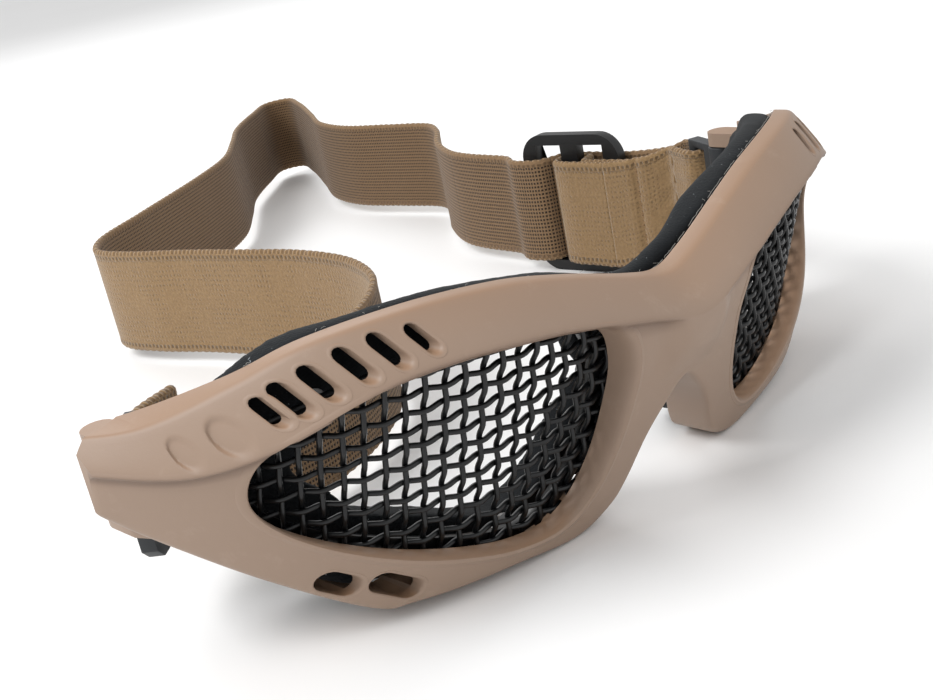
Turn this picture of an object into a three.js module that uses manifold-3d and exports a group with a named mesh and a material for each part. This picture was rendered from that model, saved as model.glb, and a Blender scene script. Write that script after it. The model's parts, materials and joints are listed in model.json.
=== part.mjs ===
// Wire-mesh goggles on an elastic head strap, lying on a table with the strap in a loose loop behind them.
// Millimetres. +X is the wearer's left, +Y runs from the bridge towards the back of the head, +Z is up, and
// z = 0 is the table. The frame and everything clamped in it are mirror images about x = 0. The strap isn't.
import * as THREE from "three";
import { mergeVertices } from "three/addons/utils/BufferGeometryUtils.js";
import Module from "manifold-3d";

const wasm = await Module();
wasm.setup();

// ---- driving sizes ----
const HALF_WIDTH = 84; // bridge centre to the widest point of a temple
const WRAP_DEPTH = 43.5; // how far the temple ends lie behind the bridge
const TEMPLE_REAR = WRAP_DEPTH - 2.5; // where the temples are cut off square
const SHELL = 2.2; // frame wall, square to its face
const GAP = 0.3; // clearance between pieces that touch
const TEMPLE_FLANGE = 7.5; // depth of the top flange at the temple
const BROW_FLANGE = 2.5; // the same over the lenses
const CHEEK_FLANGE = 9; // depth of the lower edge's wall

const MESH_THICKNESS = 1.4; // two crossing wires
const MESH_MARGIN = 1.4; // mesh hidden behind the edge of each lens opening
const RETAINER_THICKNESS = 1.6;
const RETAINER_WIDTH = 3.2;
const SCREW_HEAD_RADIUS = 1.5;
const SCREW_HEAD_HEIGHT = 1;
const SCREW_LIFT = 0.85; // a flat head's clearance over the curved retainer
const FOAM_THICKNESS = 7;
const FOAM_HALF_WIDTH = 70;
const FOAM_INSET = -4.5; // the foam's eye openings are this much smaller than the lens openings

const STRAP_WIDTH = 27;
const STRAP_THICKNESS = 1.5;
const STRAP_LIFT = 3; // lower edge of the strap above the table
const STRAP_GATHERED = 18; // width of the strap where it is gathered in a bracket's slot
const STRAP_GATHERED_TOP = 33.5; // its upper edge there

const SLIDER_LENGTH = 29;
const SLIDER_THICKNESS = 3;
const SLIDER_HEIGHT = STRAP_LIFT + STRAP_WIDTH + 6;
const SLIDER_CORNER = 6.5;
const SLIDER_END_BAR = 2.7; // bar above and below the slots
const SLIDER_SIDE_BAR = 4.5;
const SLIDER_MIDDLE_BAR = 5;
const SLIDER_TURN = 97.5; // degrees from +X to the slider's length

const PIN_RADIUS = 1.1;
const PIN_CLEARANCE = 0.08; // between a pin and its bore, all round
const BARREL_RADIUS = 2.9;
const BARREL_HEIGHT = 9;
const BRACKET_THICKNESS = 2.8;
const BRACKET_RAIL = 1.8;
const BRACKET_SLOT = 3.8;
const BRACKET_BAR = 2.8;
const BRACKET_REACH = 11.2; // pin to the middle of the rear bar
const BRACKET_TURNS = { left: 66, right: 40 }; // degrees from +X to the arm as it lies
const STRAP_LEG = 6; // strap beyond the bar's middle that swings with the bracket
const EAR_THICKNESS = 3;
const EAR_RADIUS = 3.1;
const EAR_ROOT = 0.6; // how far inside the wall's front face an ear is rooted

// The outlines, the strap's route and the mesh's place are drawn for these sizes, and move with the real ones.
const DRAWN_HALF_WIDTH = 84;
const DRAWN_WRAP_DEPTH = 43.5;
const DRAWN_SHELL = 2.2;
const WIDE = HALF_WIDTH / DRAWN_HALF_WIDTH;
const place = (x, y) => new THREE.Vector2(x * WIDE, y + WRAP_DEPTH - DRAWN_WRAP_DEPTH);
const PIN_PLACE = place(77.5, 46.5); // the wearer's left, mirrored for the right
const SLIDER_PLACE = place(82, 95.5);

const TAN = [0.62, 0.52, 0.45];
const BLACK = [0.03, 0.03, 0.035];
const FOAM_GREY = [0.06, 0.07, 0.08];
const SLATE = [0.2, 0.21, 0.22];
const STRAP_TAN = [0.45, 0.35, 0.24];
const STEEL = [0.35, 0.35, 0.36];

const goggles = new THREE.Group();
goggles.name = "mesh_goggles";

// ---- helpers ----
function add(name, geometry, [red, green, blue], roughness, metalness = 0) {
  const colour = new THREE.Color(red, green, blue);
  const material = new THREE.MeshStandardMaterial({ color: colour, roughness, metalness });
  const mesh = new THREE.Mesh(geometry, material);
  mesh.name = name;
  goggles.add(mesh);
  return mesh;
}

function toSolid(geometry) {
  const bare = geometry.clone();
  bare.deleteAttribute("normal");
  bare.deleteAttribute("uv");
  const merged = mergeVertices(bare, 1e-4);
  return new wasm.Manifold(
    new wasm.Mesh({
      numProp: 3,
      vertProperties: merged.attributes.position.array,
      triVerts: new Uint32Array(merged.index.array),
    }),
  );
}

function toGeometry(solid) {
  const mesh = solid.getMesh();
  const geometry = new THREE.BufferGeometry();
  geometry.setAttribute("position", new THREE.BufferAttribute(new Float32Array(mesh.vertProperties), 3));
  geometry.setIndex([...mesh.triVerts]);
  geometry.computeVertexNormals();
  return geometry;
}

function facesOut(geometry) {
  const position = geometry.getAttribute("position");
  const index = geometry.index.array;
  const [a, b, c] = [new THREE.Vector3(), new THREE.Vector3(), new THREE.Vector3()];
  let volume = 0;
  for (let i = 0; i < index.length; i += 3) {
    a.fromBufferAttribute(position, index[i]);
    b.fromBufferAttribute(position, index[i + 1]);
    c.fromBufferAttribute(position, index[i + 2]);
    volume += a.dot(b.cross(c));
  }
  return volume > 0;
}

// A closed solid through a row of rings of points, all with the same number of points. capRing gives a ring's
// points as a flat outline, so that both ends can be filled in.
function loft(rings, capRing) {
  const count = rings[0].length;
  const indices = [];
  for (let i = 0; i + 1 < rings.length; i++)
    for (let j = 0; j < count; j++) {
      const next = (j + 1) % count;
      const [a, b] = [i * count + j, i * count + next];
      const [c, d] = [a + count, b + count];
      indices.push(a, c, b, b, c, d);
    }
  const end = (rings.length - 1) * count;
  for (const [i, j, k] of capFaces(capRing(rings[0]))) indices.push(i, j, k);
  for (const [i, j, k] of capFaces(capRing(rings.at(-1)))) indices.push(end + k, end + j, end + i);
  const places = rings.flat().flatMap((p) => [p.x, p.y, p.z]);
  const geometry = new THREE.BufferGeometry();
  geometry.setAttribute("position", new THREE.Float32BufferAttribute(places, 3));
  geometry.setIndex(indices);
  if (!facesOut(geometry)) geometry.setIndex(indices.reverse());
  geometry.computeVertexNormals();
  return geometry;
}

// Triangles that fill a ring and turn the way that its points do.
function capFaces(outline) {
  const clockwise = THREE.ShapeUtils.isClockWise(outline);
  const faces = THREE.ShapeUtils.triangulateShape(outline, []);
  return clockwise ? faces.map(([i, j, k]) => [k, j, i]) : faces;
}

// A smooth curve of one height or width over the distance from the bridge, through named points.
function profile(points) {
  const curve = new THREE.SplineCurve(points.map(([u, v]) => new THREE.Vector2(u, v)));
  const samples = curve.getPoints(points.length * 12);
  return (u) => {
    const at = samples.findIndex((p) => p.x >= u);
    if (at < 0) return samples.at(-1).y;
    if (at === 0) return samples[0].y;
    const [a, b] = [samples[at - 1], samples[at]];
    return a.y + ((b.y - a.y) * (u - a.x)) / (b.x - a.x);
  };
}

const { lerp, smoothstep } = THREE.MathUtils;
const radians = THREE.MathUtils.degToRad;

// ---- the frame's outline, seen from the front: u is the drawn distance from the bridge ----
const topEdge = profile([
  [0, 39.7], [7, 41.3], [19.5, 45.6], [31, 48.6], [45, 50], [58, 49], [67, 45.6], [77, 41.2], [84, 40.6],
]);
const browEdge = profile([
  [0, 33.5], [15, 37.2], [30, 41.2], [45, 42.8], [55, 41.7], [66.5, 37.1], [76, 34.5], [84, 35.8],
]);
const lowerEdge = profile([
  [0, 21.5], [4.7, 17.6], [8.3, 12.9], [11.4, 6.5], [14.5, 2.6], [21.5, 0], [34, 1.4],
  [50, 2.4], [56, 3.6], [68.5, 13.5], [79, 23.5], [84, 29],
]);

// ---- the faces, as depth behind the bridge ----
const wrap = (u) => {
  const share = u / DRAWN_HALF_WIDTH;
  return WRAP_DEPTH * (0.28 * share ** 2 + 0.72 * share ** 4);
};
const wrapSlope = (u) => (wrap(u + 0.1) - wrap(u)) / (0.1 * WIDE);
const steepness = (u) => Math.min(Math.hypot(1, wrapSlope(u)), STEEPEST);
const STEEPEST = 1.65; // walls aren't thickened further than this along Y
const PANEL_LEAN = 0.385; // how far the lower panel comes forward for each millimetre up
const MESH_LEAN = 0.324;
const PANEL_STEP = 1.5; // the panel stands at most this far in front of the band's lower edge
const panelFace = (u, z) => wrap(u) + Math.max(8.5 - PANEL_LEAN * z, browLow(u) - PANEL_STEP);
const meshFace = (u, z) => wrap(u) + 12.6 + (SHELL - DRAWN_SHELL) * steepness(u) - MESH_LEAN * z;
const browLow = (u) => -4.9 + 0.18 * (browEdge(u) - 39.8);
function browFace(u, share) {
  const browHigh = 0.4 + 0.18 * (topEdge(u) - 39.7);
  return wrap(u) + lerp(browLow(u), browHigh, share ** 1.3);
}
function frontFace(u, z) {
  const share = (z - browEdge(u)) / (topEdge(u) - browEdge(u));
  return share < 0 ? panelFace(u, z) : browFace(u, Math.min(share, 1));
}

// How far from the bridge the frame's front reaches back to a depth, at one height.
function reachOf(depth, z) {
  let [near, far] = [0, DRAWN_HALF_WIDTH * 1.1];
  while (far - near > 0.01) {
    const u = (near + far) / 2;
    if (frontFace(u, z) < depth) near = u;
    else far = u;
  }
  return near * WIDE;
}

// ---- frame shell ----
const PANEL_ROWS = 5;
const BROW_ROWS = 4;
const CREASE_STEP = 0.6; // height over which the crease steps back from band to panel
function frameRing(x) {
  const u = Math.abs(x) / WIDE;
  const wall = SHELL * steepness(u);
  const [low, crease, high] = [lowerEdge(u), browEdge(u), topEdge(u)];
  const front = [];
  for (let i = 0; i <= PANEL_ROWS; i++) {
    const z = lerp(low, crease - CREASE_STEP, i / PANEL_ROWS);
    front.push(new THREE.Vector3(x, panelFace(u, z), z));
  }
  for (let i = 0; i <= BROW_ROWS; i++) {
    const share = i / BROW_ROWS;
    front.push(new THREE.Vector3(x, browFace(u, share), lerp(crease, high, share)));
  }
  const flange = lerp(BROW_FLANGE, TEMPLE_FLANGE, smoothstep(u, 62, 80)) + wall * 0.5;
  const rear = [front.at(-1).y + flange, front[0].y + CHEEK_FLANGE];
  const back = [];
  back.push(new THREE.Vector3(x, rear[0], high));
  back.push(new THREE.Vector3(x, rear[0], high - SHELL));
  for (let i = BROW_ROWS - 1; i >= 1; i--) {
    const z = Math.min(lerp(crease, high, i / BROW_ROWS), high - SHELL - 0.2 * (BROW_ROWS - i));
    back.push(new THREE.Vector3(x, frontFace(u, z) + wall, z));
  }
  for (let i = PANEL_ROWS; i >= 0; i--) {
    const z = lerp(low + SHELL, crease - SHELL, i / PANEL_ROWS);
    back.push(new THREE.Vector3(x, panelFace(u, z) + wall, z));
  }
  back.push(new THREE.Vector3(x, rear[1], low + SHELL));
  back.push(new THREE.Vector3(x, rear[1], low));
  return [...front, ...back];
}

// Places across the width, closer together at the nose, out to a drawn distance.
function stations(limit) {
  const half = [0, 2.4, 4.8, 7, 9, 11, 13, 15, 18];
  for (let u = 22; u < limit - 1; u += 4) half.push(u);
  half.push(limit);
  return [...half.slice(1).reverse().map((u) => -u), ...half].map((u) => u * WIDE);
}

const sideView = (ring) => ring.map((p) => new THREE.Vector2(p.y, p.z));

// The outline of one lens opening, grown by margin. side is 1 for the wearer's left.
function lensOutline(side, margin) {
  const corners = [
    [14.2, 30], [14.4, 23], [16.4, 14.6], [20, 8.2], [25.5, 4.6], [33.5, 5],
    [42, 7.7], [51.5, 11.8], [61, 17.4], [67.5, 23.2], [70.2, 29], [68.6, 35],
    [62, 38.6], [54, 41.2], [45, 41.9], [36, 41.2], [26, 39.6], [17.5, 36.8],
  ];
  const centre = new THREE.Vector2(42, 24);
  const points = corners.map(([u, z]) => {
    const point = new THREE.Vector2(u, z);
    const out = point.clone().sub(centre);
    return point.add(out.setLength(margin));
  });
  const curve = new THREE.SplineCurve([...points, points[0]]);
  const outline = curve.getPoints(corners.length * 2).slice(0, -1);
  return outline.map((p) => new THREE.Vector2(side * p.x * WIDE, p.y));
}

// A prism along Y from an outline in X and Z, between two depths.
function prism(outline, from, to) {
  const rings = [from, to].map((y) => outline.map((p) => new THREE.Vector3(p.x, y, p.y)));
  return toSolid(loft(rings, (ring) => ring.map((p) => new THREE.Vector2(p.x, p.z))));
}

// A slot with round ends: centre, full length and width, and its angle from +X in the front view.
function slotOutline(x, z, length, width, angle) {
  const turn = radians(angle);
  const run = length / 2 - width / 2;
  const points = [];
  for (let i = 0; i < 12; i++) {
    const swing = turn + (Math.floor(i / 6) * 6 + (i % 6) * 1.2 - 3) * (Math.PI / 6);
    const end = i < 6 ? 1 : -1;
    const px = x + end * run * Math.cos(turn) + (width / 2) * Math.cos(swing);
    const pz = z + end * run * Math.sin(turn) + (width / 2) * Math.sin(swing);
    points.push(new THREE.Vector2(px, pz));
  }
  return points;
}

const BROW_VENTS = [66, 63.5, 60, 55.7, 51.4, 47]; // drawn distances from the bridge
const BROW_VENT = [5, 2.3]; // length and width
const HALF_MOON_VENT = [4.2, 1.8]; // the first and last of them
const CHEEK_VENT_WIDTH = 3.6;
const CHEEK_VENTS = [{ u: 61, z: 10.8, length: 6.4 }, { u: 53.6, z: 7.4, length: 8.4 }];

// A lug for a bracket's pin, rooted in the temple's wall.
function earSolid(side, low) {
  const pin = pinPlace(side);
  const wallX = side * (reachOf(TEMPLE_REAR, low + EAR_THICKNESS / 2) - EAR_ROOT);
  const rootX = side * (reachOf(TEMPLE_REAR - 3, low + EAR_THICKNESS / 2) - EAR_ROOT);
  const shape = new THREE.Shape();
  shape.moveTo(rootX, TEMPLE_REAR - 3);
  shape.lineTo(wallX, TEMPLE_REAR);
  for (let turn = 0; turn <= 180; turn += 30) {
    const swing = radians(turn);
    shape.lineTo(pin.x + side * EAR_RADIUS * Math.cos(swing), pin.y + EAR_RADIUS * Math.sin(swing));
  }
  shape.lineTo(pin.x - side * EAR_RADIUS, TEMPLE_REAR - 3);
  const ear = new THREE.ExtrudeGeometry(shape, { depth: EAR_THICKNESS, bevelEnabled: false });
  ear.translate(0, 0, low);
  return toSolid(ear);
}

const pinPlace = (side) => new THREE.Vector2(side * PIN_PLACE.x, PIN_PLACE.y);
const bracketHigh = STRAP_GATHERED_TOP + BRACKET_RAIL + GAP;
const bracketLow = STRAP_GATHERED_TOP - STRAP_GATHERED - BRACKET_RAIL - GAP;
const barrelLow = bracketHigh - BARREL_HEIGHT;
const upperEar = bracketHigh + GAP;
const lowerEar = barrelLow - GAP - EAR_THICKNESS;

function post(radius, low, high, at) {
  const cylinder = new THREE.CylinderGeometry(radius, radius, high - low, 20);
  cylinder.rotateX(Math.PI / 2);
  cylinder.translate(at.x, at.y, (low + high) / 2);
  return cylinder;
}

const [BEFORE, BEYOND] = [-40, 90]; // depths in front of and behind the whole frame
function frameShell() {
  let shell = toSolid(loft(stations(DRAWN_HALF_WIDTH).map(frameRing), sideView));
  shell = shell.trimByPlane([0, -1, 0], -TEMPLE_REAR);
  for (const side of [-1, 1]) {
    const pin = pinPlace(side);
    for (const low of [upperEar, lowerEar]) shell = shell.add(earSolid(side, low));
    const bore = post(PIN_RADIUS + PIN_CLEARANCE, lowerEar - 1, upperEar + EAR_THICKNESS + 1, pin);
    const barrelRoom = post(BARREL_RADIUS + 2 * GAP, barrelLow - GAP, bracketHigh + GAP, pin);
    shell = shell.subtract(toSolid(bore)).subtract(toSolid(barrelRoom));
    shell = shell.subtract(prism(lensOutline(side, 0), BEFORE, BEYOND));
    BROW_VENTS.forEach((u, i) => {
      const middle = lerp(browEdge(u), topEdge(u), 0.5);
      const outer = i === 0 || i === BROW_VENTS.length - 1;
      const [length, width] = outer ? HALF_MOON_VENT : BROW_VENT;
      const slot = slotOutline(side * u * WIDE, middle, length, width, side * 70);
      shell = shell.subtract(prism(slot, BEFORE, BEYOND));
    });
    for (const vent of CHEEK_VENTS) {
      const slot = slotOutline(side * vent.u * WIDE, vent.z, vent.length, CHEEK_VENT_WIDTH, side * 36);
      shell = shell.subtract(prism(slot, BEFORE, BEYOND));
    }
  }
  return toGeometry(shell);
}

// ---- lenses and what holds them ----
// A plate that follows the mesh's curved face, from an outline with an optional hole, between two depths.
function platePiece(outline, hole, from, to) {
  const reach = outline.map((p) => Math.abs(p.x) / WIDE);
  const [near, far] = [Math.min(...reach) - 1, Math.max(...reach) + 1];
  const side = Math.sign(outline[0].x);
  const rings = [];
  for (let i = 0; i <= 16; i++) {
    const u = lerp(near, far, i / 16);
    const face = (z, depth) => new THREE.Vector3(side * u * WIDE, meshFace(u, z) + depth * steepness(u), z);
    rings.push([face(-2, from), face(46, from), face(46, to), face(-2, to)]);
  }
  let plate = toSolid(loft(rings, sideView)).intersect(prism(outline, BEFORE, BEYOND));
  if (hole) plate = plate.subtract(prism(hole, BEFORE, BEYOND));
  return toGeometry(plate);
}

function lens(side, word) {
  const aboveFlange = (x) => lowerEdge(Math.abs(x) / WIDE) + SHELL + GAP;
  const clear = (p) => new THREE.Vector2(p.x, Math.max(p.y, aboveFlange(p.x)));
  const edge = lensOutline(side, MESH_MARGIN).map(clear);
  add(`mesh_lens_${word}`, platePiece(edge, null, 0, MESH_THICKNESS), BLACK, 0.35, 0.6);
  const start = MESH_THICKNESS + GAP / 2;
  const opening = lensOutline(side, MESH_MARGIN - RETAINER_WIDTH);
  const ring = platePiece(edge, opening, start, start + RETAINER_THICKNESS);
  add(`lens_retainer_${word}`, ring, BLACK, 0.3);
  const outline = lensOutline(side, MESH_MARGIN - RETAINER_WIDTH / 2);
  [1, 9, 17, 25, 31].forEach((at, i) => {
    const point = outline[at];
    point.y = Math.max(point.y, aboveFlange(point.x) + SCREW_HEAD_RADIUS * 1.2);
    const u = Math.abs(point.x) / WIDE;
    const head = new THREE.CylinderGeometry(SCREW_HEAD_RADIUS, SCREW_HEAD_RADIUS, SCREW_HEAD_HEIGHT, 14);
    head.rotateX(Math.atan(-MESH_LEAN));
    head.rotateZ(Math.atan(wrapSlope(u)) * side);
    const depth = start + RETAINER_THICKNESS + SCREW_LIFT + SCREW_HEAD_HEIGHT / 2;
    head.translate(point.x, meshFace(u, point.y) + depth * steepness(u), point.y);
    add(`retainer_screw_${word}_${i + 1}`, head, STEEL, 0.35, 0.9);
  });
}

// ---- foam ----
function foamPad() {
  const layers = MESH_THICKNESS + RETAINER_THICKNESS + SCREW_HEAD_HEIGHT + SCREW_LIFT + 4 * GAP;
  const ring = (x) => {
    const u = Math.abs(x) / WIDE;
    const taper = smoothstep(u, FOAM_HALF_WIDTH - 12, FOAM_HALF_WIDTH);
    const low = lerp(lowerEdge(u) + SHELL + 2 * GAP, browEdge(u) - 4, taper * 0.5);
    const high = topEdge(u) - SHELL - 2 * GAP - taper * 1.2;
    const start = (z) => {
      const behindShell = frontFace(u, z) + SHELL * steepness(u);
      const behindLens = meshFace(u, z) + layers * steepness(u);
      return Math.max(behindShell, behindLens) + 2 * GAP;
    };
    const heights = [0, 0.2, 0.4, 0.6, 0.8, 0.92, 1].map((share) => lerp(low, high, share));
    const front = heights.map((z) => new THREE.Vector3(x, start(z), z));
    const depth = FOAM_THICKNESS * Math.min(steepness(u), 1.35) * lerp(1, 0.65, taper);
    const back = heights.toReversed().map((z) => new THREE.Vector3(x, start(z) + depth, z));
    return [...front, ...back];
  };
  let foam = toSolid(loft(stations(FOAM_HALF_WIDTH).map(ring), sideView));
  for (const side of [-1, 1]) foam = foam.subtract(prism(lensOutline(side, FOAM_INSET), BEFORE, BEYOND));
  return toGeometry(foam);
}

// ---- strap ----
// Webbing that stands on edge along a route of [x, y, lower edge, upper edge], smooth through its points.
function webbing(route, steps) {
  const curve = (points) => new THREE.CatmullRomCurve3(points, false, "centripetal");
  const low = curve(route.map(([x, y, bottom]) => new THREE.Vector3(x, y, bottom)));
  const high = curve(route.map(([x, y, , top]) => new THREE.Vector3(x, y, top)));
  const rings = [];
  for (let i = 0; i <= steps; i++) {
    const t = low.getUtoTmapping(i / steps);
    const [bottom, top, way] = [low.getPoint(t), high.getPoint(t), low.getTangent(t)];
    const side = new THREE.Vector3(-way.y, way.x, 0).setLength(STRAP_THICKNESS / 2);
    const [left, right] = [(p) => p.clone().add(side), (p) => p.clone().sub(side)];
    rings.push([left(bottom), left(top), right(top), right(bottom)]);
  }
  return loft(rings, (ring) => {
    const way = ring[0].clone().sub(ring[3]).setZ(0).normalize();
    return ring.map((p) => new THREE.Vector2(p.dot(way), p.z));
  });
}

// Points given along and across the slider become points on the table.
const sliderAlong = new THREE.Vector2(Math.cos(radians(SLIDER_TURN)), Math.sin(radians(SLIDER_TURN)));
const sliderAcross = new THREE.Vector2(-sliderAlong.y, sliderAlong.x); // towards the wearer's head
function atSlider(along, over) {
  const x = SLIDER_PLACE.x + sliderAlong.x * along + sliderAcross.x * over;
  const y = SLIDER_PLACE.y + sliderAlong.y * along + sliderAcross.y * over;
  return [x, y, STRAP_LIFT, STRAP_LIFT + STRAP_WIDTH];
}

// Points given along and across a bracket's arm, with the strap gathered to the slot's height.
function atBracket(word, along, over, gathered = 1) {
  const turn = radians(BRACKET_TURNS[word]);
  const pin = pinPlace(word === "left" ? 1 : -1);
  const x = pin.x + Math.cos(turn) * along - Math.sin(turn) * over;
  const y = pin.y + Math.sin(turn) * along + Math.cos(turn) * over;
  const low = lerp(STRAP_LIFT, STRAP_GATHERED_TOP - STRAP_GATHERED, gathered);
  const width = lerp(STRAP_WIDTH, STRAP_GATHERED, gathered);
  return [x, y, low, low + width];
}

const layer = STRAP_THICKNESS + GAP; // from one strap layer to the next
const onBar = SLIDER_THICKNESS / 2 + GAP + STRAP_THICKNESS / 2; // strap's middle where it lies on the slider
const barCorner = Math.hypot(BRACKET_BAR, BRACKET_THICKNESS) / 2;
const roundBar = barCorner + GAP / 2 + STRAP_THICKNESS / 2; // the strap's middle clears the bar's corners
const slotMiddle = SLIDER_MIDDLE_BAR / 2 + (SLIDER_LENGTH / 2 - SLIDER_SIDE_BAR - SLIDER_MIDDLE_BAR / 2) / 2;
const legEnd = BRACKET_REACH + STRAP_LEG;

// The U of strap round a bracket's rear bar.
function strapLoop(word) {
  const route = [];
  route.push(atBracket(word, legEnd, roundBar));
  route.push(atBracket(word, BRACKET_REACH + 3, roundBar));
  for (let i = 0; i <= 6; i++) {
    const swing = Math.PI / 2 + (Math.PI * i) / 6;
    route.push(atBracket(word, BRACKET_REACH + roundBar * Math.cos(swing), roundBar * Math.sin(swing)));
  }
  route.push(atBracket(word, BRACKET_REACH + 3, -roundBar));
  route.push(atBracket(word, legEnd, -roundBar));
  return webbing(route, 26);
}

const legGap = GAP + 0.1;
const full = [STRAP_LIFT, STRAP_LIFT + STRAP_WIDTH];
const partly = [STRAP_LIFT + 4, STRAP_LIFT + STRAP_WIDTH + 1.4]; // half way to being gathered
const routePoint = (x, y, [low, high]) => [...place(x, y), low, high];

// From the left bracket past the seam to the slider, round its middle bar and back under itself to the seam.
function sewnEnd() {
  const over = onBar + layer;
  const barSide = SLIDER_MIDDLE_BAR / 2 + 2 * GAP + STRAP_THICKNESS / 2;
  return webbing(
    [
      atBracket("left", legEnd + legGap, roundBar),
      atBracket("left", legEnd + legGap + 2, roundBar, 0.9),
      routePoint(81.3, 71, partly),
      atSlider(-14, over),
      atSlider(-5, over),
      atSlider(0, over - 0.2),
      atSlider(barSide - 0.3, onBar + 0.1),
      atSlider(barSide, 0),
      atSlider(barSide - 0.3, -onBar),
      atSlider(0, -onBar - 0.1),
      atSlider(-barSide + 0.3, -onBar),
      atSlider(-barSide, 0),
      atSlider(-barSide - 0.8, onBar - 0.5),
      atSlider(-9, onBar),
      atSlider(-17, onBar),
      atSlider(-23, onBar),
    ],
    96,
  );
}

// From the left bracket outside the slider, in through its rear slot, to the start of the main strap.
const runEnd = routePoint(80.4, 124, full);
function outerRun() {
  const outside = -onBar - layer;
  return webbing(
    [
      atBracket("left", legEnd + legGap, -roundBar),
      atBracket("left", legEnd + legGap + 4, -roundBar, 0.9),
      routePoint(88.7, 70, partly),
      atSlider(-14, outside),
      atSlider(0, outside),
      atSlider(slotMiddle - 1.4, outside + 0.5),
      atSlider(slotMiddle + 0.9, 0),
      atSlider(slotMiddle + 3.1, onBar + 0.1),
      atSlider(SLIDER_LENGTH / 2 + 2, onBar + 0.5),
      routePoint(79.9, 117, full),
      runEnd,
    ],
    56,
  );
}

// The loose loop round the back, from behind the slider to the right bracket.
const LOOSE_LOOP = [
  [80.6, 131], [82.5, 141], [91, 156], [103.5, 170], [108, 179], [106, 196], [103.5, 214], [107, 232],
  [118, 252], [132, 278], [137.5, 293], [131, 297], [117, 287], [98, 270], [83, 251], [67, 232],
  [49, 219], [18, 201], [-2, 189], [-8, 179], [-6, 165], [-1, 150], [4, 131], [8, 114],
  [8, 96], [3, 82], [-4, 73.5], [-13, 67], [-26, 61.5], [-40, 60],
];
function mainStrap() {
  const route = LOOSE_LOOP.map(([x, y]) => routePoint(x, y, full));
  route.unshift([runEnd[0], runEnd[1] + GAP, ...full]);
  route.push(routePoint(-54, 61, partly));
  route.push(atBracket("right", legEnd + legGap + 4, -roundBar - 0.6, 0.9));
  route.push(atBracket("right", legEnd + legGap, -roundBar));
  return webbing(route, 190);
}

// The end that is folded back and sewn at the right bracket.
function strapTail() {
  return webbing(
    [
      atBracket("right", legEnd + legGap, roundBar),
      atBracket("right", legEnd + legGap + 4, roundBar - 0.6, 0.9),
      atBracket("right", legEnd + legGap + 14, 1.2, 0.5),
    ],
    10,
  );
}

// ---- slider and brackets ----
function slider() {
  const [half, tall, corner] = [SLIDER_LENGTH / 2, SLIDER_HEIGHT, SLIDER_CORNER];
  const shape = new THREE.Shape();
  shape.absarc(half - corner, corner, corner, -Math.PI / 2, 0);
  shape.absarc(half - corner, tall - corner, corner, 0, Math.PI / 2);
  shape.absarc(-half + corner, tall - corner, corner, Math.PI / 2, Math.PI);
  shape.absarc(-half + corner, corner, corner, Math.PI, Math.PI * 1.5);
  const settings = { depth: SLIDER_THICKNESS, bevelEnabled: false, curveSegments: 5 };
  const plate = new THREE.ExtrudeGeometry(shape, settings);
  plate.translate(0, 0, -SLIDER_THICKNESS / 2);
  plate.rotateX(Math.PI / 2);
  const slotLength = half - SLIDER_SIDE_BAR - SLIDER_MIDDLE_BAR / 2;
  let solid = toSolid(plate);
  for (const end of [-1, 1]) {
    const slot = new THREE.BoxGeometry(slotLength, SLIDER_THICKNESS * 2, tall - 2 * SLIDER_END_BAR);
    slot.translate(end * slotMiddle, 0, tall / 2);
    solid = solid.subtract(toSolid(slot));
  }
  const placed = toGeometry(solid);
  placed.rotateZ(radians(SLIDER_TURN));
  placed.translate(SLIDER_PLACE.x, SLIDER_PLACE.y, 0);
  return placed;
}

function strapBracket(word) {
  const slotEnd = BRACKET_REACH - BRACKET_BAR / 2;
  const slotStart = slotEnd - BRACKET_SLOT;
  const rim = BRACKET_REACH + BRACKET_BAR / 2;
  const clearOfEar = EAR_RADIUS + GAP + 0.1;
  const shape = new THREE.Shape();
  shape.moveTo(0, barrelLow);
  shape.lineTo(clearOfEar, barrelLow);
  shape.lineTo(clearOfEar, bracketLow + 2);
  shape.lineTo(clearOfEar + 2, bracketLow);
  shape.lineTo(rim, bracketLow);
  shape.lineTo(rim, bracketHigh);
  shape.lineTo(0, bracketHigh);
  const slot = new THREE.Path();
  slot.moveTo(slotStart, bracketLow + BRACKET_RAIL);
  slot.lineTo(slotEnd, bracketLow + BRACKET_RAIL);
  slot.lineTo(slotEnd, bracketHigh - BRACKET_RAIL);
  slot.lineTo(slotStart, bracketHigh - BRACKET_RAIL);
  shape.holes.push(slot);
  const plate = new THREE.ExtrudeGeometry(shape, { depth: BRACKET_THICKNESS, bevelEnabled: false });
  plate.translate(0, 0, -BRACKET_THICKNESS / 2);
  plate.rotateX(Math.PI / 2);
  const origin = new THREE.Vector2();
  const barrel = toSolid(post(BARREL_RADIUS, barrelLow, bracketHigh, origin));
  const bore = toSolid(post(PIN_RADIUS + PIN_CLEARANCE, barrelLow - 1, bracketHigh + 1, origin));
  const bracket = toGeometry(toSolid(plate).add(barrel).subtract(bore));
  const pin = pinPlace(word === "left" ? 1 : -1);
  bracket.rotateZ(radians(BRACKET_TURNS[word]));
  bracket.translate(pin.x, pin.y, 0);
  return bracket;
}

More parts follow.
